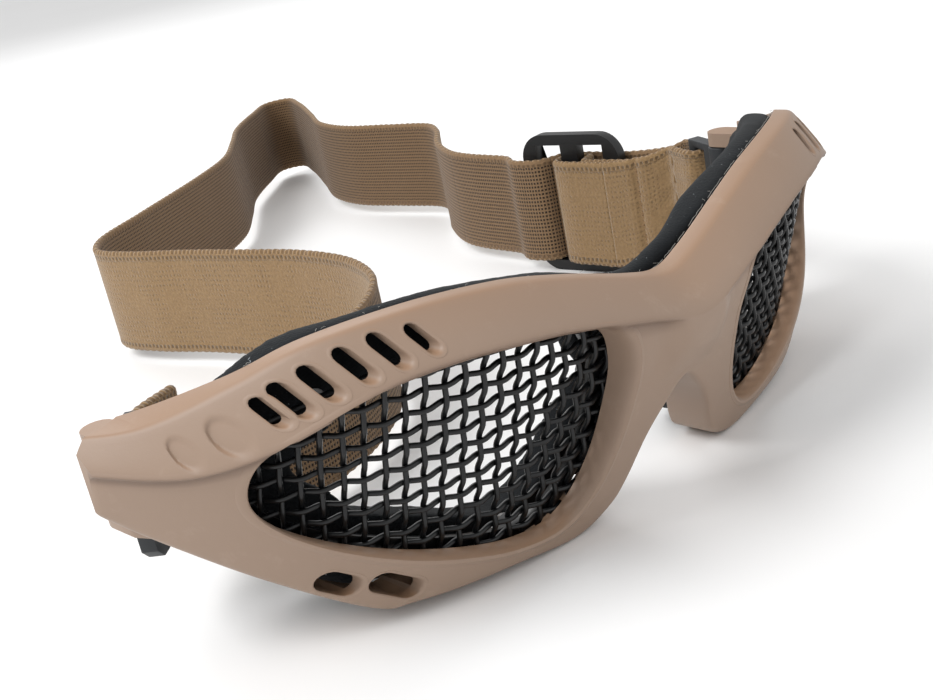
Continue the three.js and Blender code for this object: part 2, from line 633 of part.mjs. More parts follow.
// ---- the assembly ----
add("frame_shell", frameShell(), TAN, 0.45);
for (const [side, word] of [[1, "left"], [-1, "right"]]) lens(side, word);
add("foam_pad", foamPad(), FOAM_GREY, 0.95);
for (const [side, word] of [[1, "left"], [-1, "right"]]) {
  add(`strap_bracket_${word}`, strapBracket(word), SLATE, 0.5);
  const pin = post(PIN_RADIUS, lowerEar + GAP, upperEar + EAR_THICKNESS - GAP, pinPlace(side));
  add(`bracket_pin_${word}`, pin, STEEL, 0.3, 0.9);
  add(`strap_loop_${word}`, strapLoop(word), STRAP_TAN, 0.95);
}
add("strap_slider", slider(), BLACK, 0.4);
add("strap_sewn_end", sewnEnd(), STRAP_TAN, 0.95);
add("strap_outer_run", outerRun(), STRAP_TAN, 0.95);
add("strap_main", mainStrap(), STRAP_TAN, 0.95);
add("strap_tail", strapTail(), STRAP_TAN, 0.95);

// The origin is under the middle of the whole thing, on the table.
const whole = new THREE.Box3().setFromObject(goggles);
const middle = whole.getCenter(new THREE.Vector3());
for (const mesh of goggles.children) mesh.position.set(-middle.x, -middle.y, -whole.min.z);

export default goggles;
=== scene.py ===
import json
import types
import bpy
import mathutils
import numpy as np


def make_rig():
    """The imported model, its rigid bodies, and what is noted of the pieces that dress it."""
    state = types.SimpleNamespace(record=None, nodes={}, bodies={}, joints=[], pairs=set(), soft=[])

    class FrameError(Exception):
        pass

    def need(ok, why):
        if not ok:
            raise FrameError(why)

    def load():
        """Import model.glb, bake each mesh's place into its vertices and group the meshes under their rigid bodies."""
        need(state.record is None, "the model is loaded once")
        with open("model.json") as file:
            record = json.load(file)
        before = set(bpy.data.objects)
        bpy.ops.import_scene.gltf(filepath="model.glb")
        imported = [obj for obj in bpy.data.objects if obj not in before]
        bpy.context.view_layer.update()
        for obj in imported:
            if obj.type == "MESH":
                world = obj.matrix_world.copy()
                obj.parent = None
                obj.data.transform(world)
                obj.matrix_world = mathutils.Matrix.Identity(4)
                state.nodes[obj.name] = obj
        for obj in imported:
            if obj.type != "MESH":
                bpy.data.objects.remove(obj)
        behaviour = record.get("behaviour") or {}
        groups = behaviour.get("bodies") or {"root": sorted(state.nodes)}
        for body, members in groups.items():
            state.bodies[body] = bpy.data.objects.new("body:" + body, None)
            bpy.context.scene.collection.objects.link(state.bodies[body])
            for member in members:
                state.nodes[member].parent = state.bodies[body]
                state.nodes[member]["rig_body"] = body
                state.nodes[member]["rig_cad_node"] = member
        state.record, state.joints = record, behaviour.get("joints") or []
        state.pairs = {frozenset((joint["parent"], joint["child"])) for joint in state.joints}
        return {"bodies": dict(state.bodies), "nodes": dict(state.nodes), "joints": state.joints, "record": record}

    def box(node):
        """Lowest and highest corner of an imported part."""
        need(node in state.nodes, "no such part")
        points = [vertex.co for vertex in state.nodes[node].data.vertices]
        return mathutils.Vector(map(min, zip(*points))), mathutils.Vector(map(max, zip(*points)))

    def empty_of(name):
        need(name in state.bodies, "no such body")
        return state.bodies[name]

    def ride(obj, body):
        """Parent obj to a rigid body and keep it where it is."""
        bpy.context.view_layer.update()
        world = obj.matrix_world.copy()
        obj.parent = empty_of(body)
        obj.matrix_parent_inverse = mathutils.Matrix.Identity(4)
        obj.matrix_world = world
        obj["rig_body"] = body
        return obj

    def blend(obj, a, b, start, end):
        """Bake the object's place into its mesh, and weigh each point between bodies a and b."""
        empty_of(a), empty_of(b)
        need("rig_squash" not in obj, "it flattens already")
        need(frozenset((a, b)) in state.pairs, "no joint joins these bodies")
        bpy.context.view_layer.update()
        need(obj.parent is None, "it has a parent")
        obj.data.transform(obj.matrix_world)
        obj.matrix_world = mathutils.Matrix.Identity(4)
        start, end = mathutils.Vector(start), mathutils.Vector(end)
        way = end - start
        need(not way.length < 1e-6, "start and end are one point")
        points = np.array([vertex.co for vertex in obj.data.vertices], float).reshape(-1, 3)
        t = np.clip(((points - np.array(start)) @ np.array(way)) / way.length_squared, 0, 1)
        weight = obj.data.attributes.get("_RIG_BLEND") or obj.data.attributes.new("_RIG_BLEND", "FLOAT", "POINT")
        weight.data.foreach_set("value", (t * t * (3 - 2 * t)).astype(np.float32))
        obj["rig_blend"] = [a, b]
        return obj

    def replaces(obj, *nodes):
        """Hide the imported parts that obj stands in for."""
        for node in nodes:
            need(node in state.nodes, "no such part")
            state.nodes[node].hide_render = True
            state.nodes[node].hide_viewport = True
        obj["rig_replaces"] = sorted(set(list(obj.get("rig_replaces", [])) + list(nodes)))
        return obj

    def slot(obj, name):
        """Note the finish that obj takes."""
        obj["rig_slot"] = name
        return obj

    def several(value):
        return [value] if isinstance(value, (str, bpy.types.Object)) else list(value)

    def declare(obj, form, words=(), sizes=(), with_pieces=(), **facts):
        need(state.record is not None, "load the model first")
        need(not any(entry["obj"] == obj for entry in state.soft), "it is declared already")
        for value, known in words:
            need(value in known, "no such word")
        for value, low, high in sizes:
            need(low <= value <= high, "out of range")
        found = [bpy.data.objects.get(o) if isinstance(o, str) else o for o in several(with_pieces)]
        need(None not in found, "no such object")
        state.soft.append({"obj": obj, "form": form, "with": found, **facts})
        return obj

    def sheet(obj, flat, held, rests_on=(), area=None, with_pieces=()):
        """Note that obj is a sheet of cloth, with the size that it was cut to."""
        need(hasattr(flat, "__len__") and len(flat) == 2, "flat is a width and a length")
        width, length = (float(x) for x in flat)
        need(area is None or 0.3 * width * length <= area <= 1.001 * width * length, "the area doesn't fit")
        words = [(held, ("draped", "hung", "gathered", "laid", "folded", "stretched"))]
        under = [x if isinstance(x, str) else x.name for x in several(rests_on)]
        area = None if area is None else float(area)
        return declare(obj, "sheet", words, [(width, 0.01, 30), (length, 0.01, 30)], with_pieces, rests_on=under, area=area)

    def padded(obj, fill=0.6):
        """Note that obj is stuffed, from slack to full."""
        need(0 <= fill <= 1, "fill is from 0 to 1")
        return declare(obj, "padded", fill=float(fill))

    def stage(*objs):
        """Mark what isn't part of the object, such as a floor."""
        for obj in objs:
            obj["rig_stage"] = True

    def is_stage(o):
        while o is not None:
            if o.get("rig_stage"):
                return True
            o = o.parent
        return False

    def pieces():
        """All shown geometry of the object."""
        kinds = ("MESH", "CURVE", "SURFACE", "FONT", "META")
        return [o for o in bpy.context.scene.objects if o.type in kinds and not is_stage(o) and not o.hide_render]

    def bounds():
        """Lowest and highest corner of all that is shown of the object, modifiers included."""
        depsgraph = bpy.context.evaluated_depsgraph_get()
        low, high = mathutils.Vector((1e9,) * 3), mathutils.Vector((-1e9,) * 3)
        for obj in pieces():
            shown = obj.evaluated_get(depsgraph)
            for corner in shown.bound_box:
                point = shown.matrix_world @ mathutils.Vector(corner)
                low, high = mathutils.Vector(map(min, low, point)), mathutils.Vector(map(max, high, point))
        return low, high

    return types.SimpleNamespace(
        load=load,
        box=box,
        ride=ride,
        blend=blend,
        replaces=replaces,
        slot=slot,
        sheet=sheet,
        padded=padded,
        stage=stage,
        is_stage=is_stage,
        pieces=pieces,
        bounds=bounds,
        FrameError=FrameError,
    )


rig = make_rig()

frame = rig.load()

# Wire-mesh goggles on an elastic head strap, lying on a table. The shapes are drawn in millimetres, with
# x = 0 on the frame's middle plane and y = 0 at the bridge, and set down in the shared frame in metres.

import json
import math
import random

import bmesh
import bpy
import numpy as np
from mathutils import Matrix, Vector

cad_box = [list(corner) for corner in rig.bounds()]

# ---- where the drawing lies in the row frame ----
MM = 0.001
PIN_X, PIN_Y = 77.5, 46.5


def middle(node):
    low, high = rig.box(node)
    return (low + high) / 2


pin_left, pin_right = middle("bracket_pin_left"), middle("bracket_pin_right")
ORIGIN = Vector(((pin_left.x + pin_right.x) / 2, pin_left.y - PIN_Y * MM, 0))


def row(point):
    return Vector(point) * MM + ORIGIN


# ---- camera ----
LENS = 49.77
CAMERA_PLACE = (-148.02, -123.92, 106.67)
AZIMUTH, ELEVATION, ROLL = (math.radians(a) for a in (-39.875, 21.051, -11.769))


def place_camera():
    camera = bpy.data.objects.new("camera", bpy.data.cameras.new("camera"))
    bpy.context.scene.collection.objects.link(camera)
    level = math.cos(ELEVATION)
    back = Vector((math.sin(AZIMUTH) * level, -math.cos(AZIMUTH) * level, math.sin(ELEVATION)))
    right = Vector((0, 0, 1)).cross(back).normalized()
    up = back.cross(right)
    turned_right = right * math.cos(ROLL) + up * math.sin(ROLL)
    turned_up = up * math.cos(ROLL) - right * math.sin(ROLL)
    camera.matrix_world = Matrix.Translation(row(CAMERA_PLACE)) @ Matrix(
        (turned_right, turned_up, back)
    ).transposed().to_4x4()
    camera.data.lens = LENS
    camera.data.sensor_width = 36
    camera.data.clip_start = 0.01
    bpy.context.scene.camera = camera


place_camera()


# ---- curves ----
def lerp(a, b, share):
    return a + (b - a) * share


def smoothstep(x, low, high):
    share = min(max((x - low) / (high - low), 0), 1)
    return share * share * (3 - 2 * share)


def hump(x, centre, width):
    return math.exp(-(((x - centre) / width) ** 2))


def curve_point(start, end, lean_in, lean_out, t):
    """The point at share t of a curve that leaves start and reaches end along its leans."""
    return (
        start * (2 * t**3 - 3 * t**2 + 1) + lean_in * (t**3 - 2 * t**2 + t)
        + end * (3 * t**2 - 2 * t**3) + lean_out * (t**3 - t**2)
    )


def spline(points, samples, closed=False):
    """Points on a smooth curve through points, samples to a span."""
    points = [Vector(p) for p in points]
    count = len(points)
    at = (lambda i: points[i % count]) if closed else (lambda i: points[min(max(i, 0), count - 1)])
    result = []
    for i in range(count if closed else count - 1):
        a, b, c, d = at(i - 1), at(i), at(i + 1), at(i + 2)
        result += [curve_point(b, c, (c - a) / 2, (d - b) / 2, k / samples) for k in range(samples)]
    return result if closed else result + [points[-1]]


def profile(points):
    """A height over the distance from the bridge, level at the bridge itself."""
    drawn = spline([(-points[1][0], points[1][1]), *points], 12)
    reach, height = [p[0] for p in drawn], [p[1] for p in drawn]
    return lambda u: float(np.interp(u, reach, height))


top_edge = profile([
    (0, 39.7), (7, 41.3), (19.5, 45.6), (31, 48.6), (45, 50), (58, 49), (67, 45.6), (77, 41.2), (84, 40.6),
])
brow_edge = profile([
    (0, 33.5), (15, 37.2), (30, 41.2), (45, 42.8), (55, 41.7), (66.5, 37.1), (76, 34.5), (84, 35.8),
])
lower_edge = profile([
    (0, 21.5), (4.7, 17.6), (8.3, 12.9), (11.4, 6.5), (14.5, 2.6), (21.5, 0), (34, 1.4),
    (50, 2.4), (56, 3.6), (68.5, 13.5), (79, 23.5), (84, 29),
])

# ---- the frame's faces, as depth behind the bridge ----
HALF_WIDTH, WRAP_DEPTH, TEMPLE_REAR = 84, 43.5, 41
SHELL = 2.2
PANEL_LEAN, MESH_LEAN = 0.385, 0.324
BROW_FLANGE, TEMPLE_FLANGE, CHEEK_FLANGE = 2.5, 7.5, 9


def wrap(u):
    share = u / HALF_WIDTH
    return WRAP_DEPTH * (0.28 * share**2 + 0.72 * share**4)


def slope(u):
    return (wrap(u + 0.1) - wrap(u)) / 0.1


def steepness(u):
    return min(math.hypot(1, slope(u)), 1.65)


def brow_low(u):
    return -4.9 + 0.18 * (brow_edge(u) - 39.8)


def soft_max(a, b, softness):
    return (a + b + math.hypot(a - b, softness)) / 2


def crease_share(u):
    """How deep the crease under the brow band is: it fades out over the bridge."""
    return smoothstep(u, 4, 10)


def panel_face(u, z):
    face = soft_max(8.5 - PANEL_LEAN * z, brow_low(u) + 0.5, 1.2)
    crease = brow_edge(u)
    lift = (1 - crease_share(u)) * smoothstep(z, crease - 12, crease)
    return wrap(u) + lerp(face, min(face, brow_low(u)), lift)


def brow_face(u, share):
    high = 0.4 + 0.18 * (top_edge(u) - 39.7)
    return wrap(u) + lerp(brow_low(u), high, max(share, 0) ** 1.3)


def front_face(u, z):
    crease = brow_edge(u)
    share = (z - crease) / (top_edge(u) - crease)
    return panel_face(u, z) if share < 0 else brow_face(u, min(share, 1))


def mesh_face(u, z):
    return wrap(u) + 12.6 - MESH_LEAN * z


# ---- pieces ----
class Piece:
    """A mesh in the making. It is drawn in millimetres on grids that are bent into place."""

    def __init__(self, name):
        self.name = name
        self.mesh = bmesh.new()
        self.uv = self.mesh.loops.layers.uv.new("UVMap")

    def skin(self, across, around, place, uv=None, finish=None):
        """A grid of across by around faces. place gives the point and uv the map's metres at two shares."""
        made = bmesh.ops.create_grid(self.mesh, x_segments=across, y_segments=around, size=0.5)["verts"]
        faces = {face for vert in made for face in vert.link_faces}
        shares = {vert: (vert.co.x + 0.5, vert.co.y + 0.5) for vert in made}
        for face in faces:
            face.smooth = True
            for loop in face.loops:
                loop[self.uv].uv = uv(*shares[loop.vert]) if uv else shares[loop.vert]
            if finish:
                corners = [shares[vert][1] for vert in face.verts]
                face.material_index = finish(sum(corners) / len(corners))
        for vert, (s, t) in shares.items():
            vert.co = row(place(s, t))
        bmesh.ops.remove_doubles(self.mesh, verts=made, dist=1e-7)
        open_edges = {e for f in faces if f.is_valid for e in f.edges if e.is_boundary}
        if open_edges:
            bmesh.ops.holes_fill(self.mesh, edges=list(open_edges))

    def loft(self, rings):
        """A closed body through rings of points, all with the same number of points."""
        count = len(rings[0])
        last = len(rings) - 1
        self.skin(last, count, lambda s, t: rings[round(s * last)][round(t * count) % count])

    def hoop(self, rings):
        """A ring-shaped body: the last ring of points joins the first."""
        self.loft(rings + [rings[0]])

    def tube(self, path, radius, sides=8, up=(0, 1, 0)):
        """A round wire or thread along a path of points."""
        rings = []
        for i, point in enumerate(path):
            way = (path[min(i + 1, len(path) - 1)] - path[max(i - 1, 0)]).normalized()
            side = way.cross(Vector(up)).normalized()
            other = side.cross(way)
            turns = [math.tau * k / sides for k in range(sides)]
            spokes = [(radius * math.cos(a), radius * math.sin(a)) for a in turns]
            rings.append([point + side * c + other * s for c, s in spokes])
        self.loft(rings)

    def prism(self, outline, start, end):
        """A bar along Y through an outline of (x, z) points."""
        self.loft([[(x, y, z) for x, z in outline] for y in (start, end)])

    def post(self, outline, low, high):
        """An upright bar through an outline of (x, y) points."""
        self.loft([[(x, y, z) for x, y in outline] for z in (low, high)])

    def made(self):
        """The mesh as an object that isn't a piece yet."""
        bmesh.ops.recalc_face_normals(self.mesh, faces=self.mesh.faces[:])
        data = bpy.data.meshes.new(self.name)
        self.mesh.to_mesh(data)
        self.mesh.free()
        thing = bpy.data.objects.new(self.name, data)
        bpy.context.scene.collection.objects.link(thing)
        return thing


def settle(thing, body, slot, materials, *nodes):
    """Gives an object its finish, its body unless that is None, and the CAD nodes that it stands for."""
    if len(thing.data.materials):  # clearing an empty list would still reset which face has which finish
        thing.data.materials.clear()
    for material in materials:
        thing.data.materials.append(material)
    if body:
        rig.ride(thing, body)
    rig.slot(thing, slot)
    if nodes:
        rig.replaces(thing, *nodes)


def applied(thing):
    """Its modifiers become its mesh."""
    bpy.context.view_layer.update()
    seen = thing.evaluated_get(bpy.context.evaluated_depsgraph_get())
    data = bpy.data.meshes.new_from_object(seen)
    thing.modifiers.clear()
    thing.data = data
    return thing


def carved(thing, cutter):
    cut = thing.modifiers.new("cut", "BOOLEAN")
    cut.operation, cut.solver, cut.object = "DIFFERENCE", "MANIFOLD", cutter
    applied(thing)
    bpy.data.objects.remove(cutter)
    return thing


def shade(thing, degrees=35):
    """Smooth all over, but sharp where faces meet at more than an angle."""
    mesh = bmesh.new()
    mesh.from_mesh(thing.data)
    for face in mesh.faces:
        face.smooth = True
    for edge in mesh.edges:
        edge.smooth = len(edge.link_faces) == 2 and edge.calc_face_angle(0) < math.radians(degrees)
    mesh.to_mesh(thing.data)
    mesh.free()
    return thing


def softened(node, width, segments=3):
    """A copy of a CAD node with its sharp edges rounded."""
    mesh = bmesh.new()
    mesh.from_mesh(frame["nodes"][node].data)
    bmesh.ops.remove_doubles(mesh, verts=mesh.verts[:], dist=1e-6)
    bmesh.ops.dissolve_limit(mesh, angle_limit=math.radians(1), verts=mesh.verts[:], edges=mesh.edges[:])
    sharp = [e for e in mesh.edges if e.calc_face_angle(0) > math.radians(40)]
    bmesh.ops.bevel(
        mesh, geom=sharp, offset=width * MM, segments=segments, profile=0.5, affect="EDGES",
        material=-1, clamp_overlap=True,
    )
    data = bpy.data.meshes.new(node + "_soft")
    mesh.to_mesh(data)
    mesh.free()
    thing = bpy.data.objects.new(node + "_soft", data)
    bpy.context.scene.collection.objects.link(thing)
    return shade(thing, 30)


# ---- materials ----
class Value:
    """A shader socket that can be reckoned with."""

    def __init__(self, paint, socket):
        self.paint, self.socket = paint, socket

    def reckon(self, word, *others):
        sockets = {i: other for i, other in enumerate((self, *others))}
        return self.paint.node("ShaderNodeMath", {"operation": word}, sockets)

    def __add__(self, other):
        return self.reckon("ADD", other)

    __radd__ = __add__

    def __mul__(self, other):
        return self.reckon("MULTIPLY", other)

    __rmul__ = __mul__

    def __sub__(self, other):
        return self.reckon("SUBTRACT", other)

    def __rsub__(self, other):
        return self.paint.node("ShaderNodeMath", {"operation": "SUBTRACT"}, {0: other, 1: self})

    def __truediv__(self, other):
        return self.reckon("DIVIDE", other)

    def spread(self, low, high):
        """0 below low, 1 above high, and smooth between."""
        sockets = {0: self, 1: low, 2: high}
        return self.paint.node("ShaderNodeMapRange", {"interpolation_type": "SMOOTHSTEP"}, sockets)

    def wave(self, period):
        """-1 to 1 and back over a period."""
        return (self * (math.tau / period)).reckon("SINE")


class Paint:
    """A material in the making, with a Principled shader."""

    def __init__(self, name, **constants):
        self.material = bpy.data.materials.new(name)
        self.material.use_nodes = True
        self.nodes = self.material.node_tree.nodes
        self.links = self.material.node_tree.links
        self.shader = self.nodes["Principled BSDF"]
        for socket, value in constants.items():
            self.shader.inputs[socket.replace("_", " ")].default_value = value

    def node(self, kind, settings=None, sockets=None, out=0):
        made = self.nodes.new(kind)
        for name, value in (settings or {}).items():
            setattr(made, name, value)
        for name, value in (sockets or {}).items():
            if isinstance(value, Value):
                self.links.new(value.socket, made.inputs[name])
            else:
                made.inputs[name].default_value = value
        return Value(self, made.outputs[out])

    def place(self):
        return self.node("ShaderNodeTexCoord", out="Object")

    def parts(self, vector):
        split = self.node("ShaderNodeSeparateXYZ", None, {0: vector})
        return [Value(self, split.socket.node.outputs[i]) for i in range(3)]

    def along_across(self):
        """Metres along and across a piece that is mapped in metres."""
        return self.parts(self.node("ShaderNodeUVMap", {"uv_map": "UVMap"}))[:2]

    def noise(self, scale, detail=3.0, rough=0.55):
        sockets = {"Vector": self.place(), "Scale": scale, "Detail": detail, "Roughness": rough}
        return self.node("ShaderNodeTexNoise", None, sockets)

    def attribute(self, name):
        return self.node("ShaderNodeAttribute", {"attribute_name": name}, None, "Fac")

    def mix(self, share, first, second):
        """A colour between two colours, given as sRGB shares or links."""
        paint = [c if isinstance(c, Value) else srgb(*c) for c in (first, second)]
        mixed = {"Factor": share, 6: paint[0], 7: paint[1]}
        return self.node("ShaderNodeMix", {"data_type": "RGBA"}, mixed, 2)

    def bump(self, height, strength, distance):
        sockets = {"Strength": strength, "Distance": distance, "Height": height}
        return self.node("ShaderNodeBump", None, sockets)

    def wear(self, **sockets):
        """Links values to the shader's own sockets."""
        for name, value in sockets.items():
            self.links.new(value.socket, self.shader.inputs[name.replace("_", " ")])
        return self.material


def srgb(*seen):
    """A colour as it is seen, red, green and blue from 0 to 255, as the shader's own."""
    shares = [c / 255 for c in seen]
    return (*(((s + 0.055) / 1.055) ** 2.4 if s > 0.04 else s / 12.92 for s in shares), 1)


def shell_plastic():
    paint = Paint("shell_plastic", IOR=1.46)
    cloud, grain = paint.noise(28, 4), paint.noise(2600, 2)
    groove, scuff = paint.attribute("groove"), paint.noise(190, 5, 0.7).spread(0.57, 0.75)
    body = paint.mix(cloud, (140, 118, 101), (152, 130, 113))
    # Painted light: faces that point up are tinted orange-tan, as if lit from above.
    upward = paint.parts(paint.node("ShaderNodeNewGeometry", out="Normal"))[2]
    lit_from_above = paint.mix(upward.spread(0.6, 0.95) * 0.7, body, (150, 118, 92))
    dusty = paint.mix(scuff * 0.25, lit_from_above, (172, 152, 136))
    # Painted shade: the point attribute made in frame_shell darkens the crease under the brow band towards dark brown,
    # and faintly darkens every point off the front face.
    colour = paint.mix(groove * (0.4 + 0.3 * cloud), dusty, (84, 62, 48))
    height = grain * 0.7 + paint.noise(420, 2) * 0.6
    return paint.wear(
        Base_Color=colour,
        Roughness=0.43 + 0.08 * cloud + 0.08 * scuff,
        Normal=paint.bump(height, 0.12, 0.0002),
    )


def plain_plastic(name, dark, light, rough):
    """Moulded plastic with a fine grain, faint clouding and a few rubbed spots."""
    paint = Paint(name, IOR=1.48)
    cloud, grain = paint.noise(60, 4), paint.noise(900, 2)
    rubbed = paint.noise(240, 6, 0.7).spread(0.58, 0.72)
    colour = paint.mix(0.6 * cloud + 0.4 * rubbed, dark, light)
    return paint.wear(
        Base_Color=colour,
        Roughness=rough + 0.12 * cloud - 0.1 * rubbed,
        Normal=paint.bump(grain, 0.15, 0.0002),
    )


def coated_wire():
    paint = Paint("black_wire", IOR=1.5, Specular_IOR_Level=0.3, Coat_Roughness=0.12, Coat_Weight=0.2)
    cloud, chips = paint.noise(180, 4), paint.noise(900, 4, 0.7).spread(0.66, 0.74)
    colour = paint.mix(chips, paint.mix(cloud, (7, 8, 9), (17, 18, 20)), (52, 52, 54))
    height = paint.noise(700, 3) + chips * -0.5
    return paint.wear(Base_Color=colour, Roughness=0.24 + 0.2 * cloud, Normal=paint.bump(height, 0.2, 0.0002))


def steel():
    paint = Paint("steel", Metallic=1.0)
    cloud, grain = paint.noise(300, 4), paint.noise(2400, 2)
    colour = paint.mix(cloud, (120, 120, 122), (160, 160, 160))
    return paint.wear(Base_Color=colour, Roughness=0.28 + 0.2 * cloud, Normal=paint.bump(grain, 0.1, 0.0001))


def pad_cloth():
    """Brushed knit over foam, with lint on it."""
    paint = Paint("pad_cloth", Sheen_Weight=0.03, Sheen_Roughness=0.6, Specular_IOR_Level=0.25)
    x, y, z = paint.parts(paint.place())
    knit = (x + y * 0.5).wave(0.0007) * (z + y * 0.3).wave(0.0007)
    fuzz, cloud = paint.noise(2200, 3), paint.noise(90, 4)
    lint = paint.noise(1500, 2, 0.4).spread(0.735, 0.77)
    colour = paint.mix(lint, paint.mix(fuzz * 0.6 + cloud * 0.4, (8, 10, 12), (25, 29, 33)), (130, 136, 140))
    height = knit * 0.12 + fuzz
    return paint.wear(Base_Color=colour, Roughness=0.8 + 0.15 * fuzz, Normal=paint.bump(height, 0.4, 0.0003))


STRAP_WIDTH = 27


def cell(value, period):
    """Where in its cell a point is, from -0.5 to 0.5."""
    return (value / period).reckon("FRACT") - 0.5


def selvage(across):
    """Distance from the nearer edge of the strap, in metres."""
    half = STRAP_WIDTH * MM / 2
    return half - (across - half).reckon("ABSOLUTE")


def teeth(along):
    """The dark gaps between the stitches of the selvage."""
    return cell(along, 0.0013).reckon("ABSOLUTE").spread(0.15, 0.3)


def strap_pile():
    """Brushed face: small faint pits between looped yarns, with a plain selvage and its stitches."""
    paint = Paint("strap_pile", Sheen_Weight=0.3, Sheen_Roughness=0.5, Specular_IOR_Level=0.2)
    along, across = paint.along_across()
    fuzz = paint.noise(1500, 4, 0.65)
    shake = paint.noise(520, 3) - 0.5
    column, rung = cell(along + shake * 0.0009, 0.00105), cell(across + shake * 0.0012, 0.00125)
    pit = 1 - (column * column * 5 + rung * rung * 5).reckon("SQRT").spread(0.25, 0.75)
    patchy = paint.noise(160, 3).spread(0.35, 0.62)
    rim = selvage(across)
    body = rim.spread(0.0021, 0.0026)
    tooth = (1 - (rim - 0.0017).reckon("ABSOLUTE").spread(0.0002, 0.0006)) * teeth(along)
    dark = (pit * body * (0.06 + 0.22 * patchy) + tooth * 0.55).reckon("MINIMUM", 1.0)
    tone = paint.mix(fuzz, (110, 85, 56), (162, 133, 94))
    colour = paint.mix(dark, tone, (58, 41, 27))
    height = fuzz * 0.7 - dark + (1 - body) * 0.5
    return paint.wear(Base_Color=colour, Roughness=0.82 + 0.1 * fuzz, Normal=paint.bump(height, 0.75, 0.0006))


def strap_grid():
    """Woven face: raised ribs along the strap, crossed by fine threads, with small square holes between."""
    paint = Paint("strap_grid", Sheen_Weight=0.15, Sheen_Roughness=0.5, Specular_IOR_Level=0.2)
    along, across = paint.along_across()
    fuzz = paint.noise(1800, 3, 0.6)
    shake = paint.noise(90, 2) - 0.5
    column = cell(along + shake * 0.0004, 0.00075).reckon("ABSOLUTE")
    rung = cell(across, 0.00098).reckon("ABSOLUTE")
    rim = selvage(across)
    body = rim.spread(0.0014, 0.0019)
    hole = (1 - column.spread(0.2, 0.36)) * (1 - rung.spread(0.16, 0.34)) * body
    tooth = (1 - (rim - 0.0013).reckon("ABSOLUTE").spread(0.0002, 0.0005)) * teeth(along)
    dark = (hole + tooth * 0.4).reckon("MINIMUM", 1.0)
    tone = paint.mix(fuzz, (110, 87, 63), (144, 116, 86))
    colour = paint.mix(dark, tone, (44, 32, 22))
    height = fuzz * 0.2 - dark - rung * 0.6
    return paint.wear(Base_Color=colour, Roughness=0.8 + 0.12 * fuzz, Normal=paint.bump(height, 0.7, 0.0005))


def strap_edge():
    paint = Paint("strap_edge", Sheen_Weight=0.2, Specular_IOR_Level=0.2)
    along, _ = paint.along_across()
    fuzz = paint.noise(1800, 3)
    stitch = cell(along, 0.0013).reckon("ABSOLUTE").spread(0.2, 0.45)
    colour = paint.mix(0.5 * fuzz + 0.5 * stitch, (88, 66, 44), (168, 138, 100))
    normal = paint.bump(stitch + fuzz, 0.6, 0.0004)
    return paint.wear(Base_Color=colour, Roughness=0.8 + 0.1 * fuzz, Normal=normal)


def thread(name, dark, light):
    paint = Paint(name, Sheen_Weight=0.2, Specular_IOR_Level=0.2)
    fuzz = paint.noise(3000, 3)
    colour = paint.mix(fuzz, dark, light)
    return paint.wear(Base_Color=colour, Roughness=0.7 + 0.2 * fuzz, Normal=paint.bump(fuzz, 0.4, 0.0002))


def table_top():
    paint = Paint("table_top", Specular_IOR_Level=0.2)
    cloud = paint.noise(6, 3)
    colour = paint.mix(cloud, (238, 238, 238), (242, 242, 242))
    return paint.wear(Base_Color=colour, Roughness=0.8 + 0.1 * cloud)


SHELL_PLASTIC, WIRE, STEEL, PAD = shell_plastic(), coated_wire(), steel(), pad_cloth()
RETAINER = plain_plastic("retainer_black", (9, 10, 11), (24, 25, 27), 0.25)
SLATE = plain_plastic("bracket_slate", (26, 29, 32), (44, 48, 52), 0.5)
SLIDER_BLACK = plain_plastic("slider_black", (7, 8, 9), (20, 21, 23), 0.4)
STRAP = [strap_pile(), strap_grid(), strap_edge()]
SEAM_THREAD = thread("seam_thread", (110, 84, 58), (168, 136, 98))
LOOSE_FIBRE = thread("loose_fibre", (112, 110, 105), (190, 188, 182))

# ---- frame shell ----
# Distances from the bridge at which the shell is drawn, closest together at the hollows.
STATIONS = (
    [0.6 * i for i in range(110)]
    + [65.7 + 0.21 * i for i in range(1, 60)]
    + [78.3 + 0.57 * i for i in range(11)]
)
PANEL_STEPS, BAND_STEPS = 16, 30
DIMPLES = [(70.6, 2.0, 3.0, 1.4), (75.1, 1.4, 2.5, 1.15)]  # place, half width, half height, depth
BRIDGE_ROUND, BROW_ROUND, LOW_ROUND, FLANGE_ROUND = 2.1, 1.1, 1.3, 0.5


def rounded(corners):
    """A closed outline of (y, z) points, with each corner rounded by its radius."""
    points = []
    count = len(corners)
    for i, (y, z, radius) in enumerate(corners):
        here = Vector((y, z))
        if not radius:
            points.append(here)
            continue
        before, after = Vector(corners[i - 1][:2]) - here, Vector(corners[(i + 1) % count][:2]) - here
        start = here + before.normalized() * min(radius, before.length * 0.45)
        end = here + after.normalized() * min(radius, after.length * 0.45)
        for k in range(5):
            t = k / 4
            points.append(start * (1 - t) ** 2 + here * (2 * t * (1 - t)) + end * t**2)
    return points


def dimple(u, z):
    """Depth of the two thumb-print hollows near the temple, deepest towards their rear edge."""
    depth = 0
    for at, half_width, half_height, most in DIMPLES:
        centre = lerp(brow_edge(at), top_edge(at), 0.42)
        across, up = (u - at) / half_width, (z - centre) / half_height
        inside = 1 - smoothstep(math.hypot(across, up), 0.6, 1.03)
        depth += most * inside * lerp(0.2, 1, (across + 1) / 2)
    return depth


def flange_rear(u):
    """The rear edge of the shell's top flange, which is deepest at the temple."""
    depth = lerp(BROW_FLANGE, TEMPLE_FLANGE, smoothstep(u, 62, 80)) + SHELL * steepness(u) * 0.5
    return brow_face(u, 1) + depth


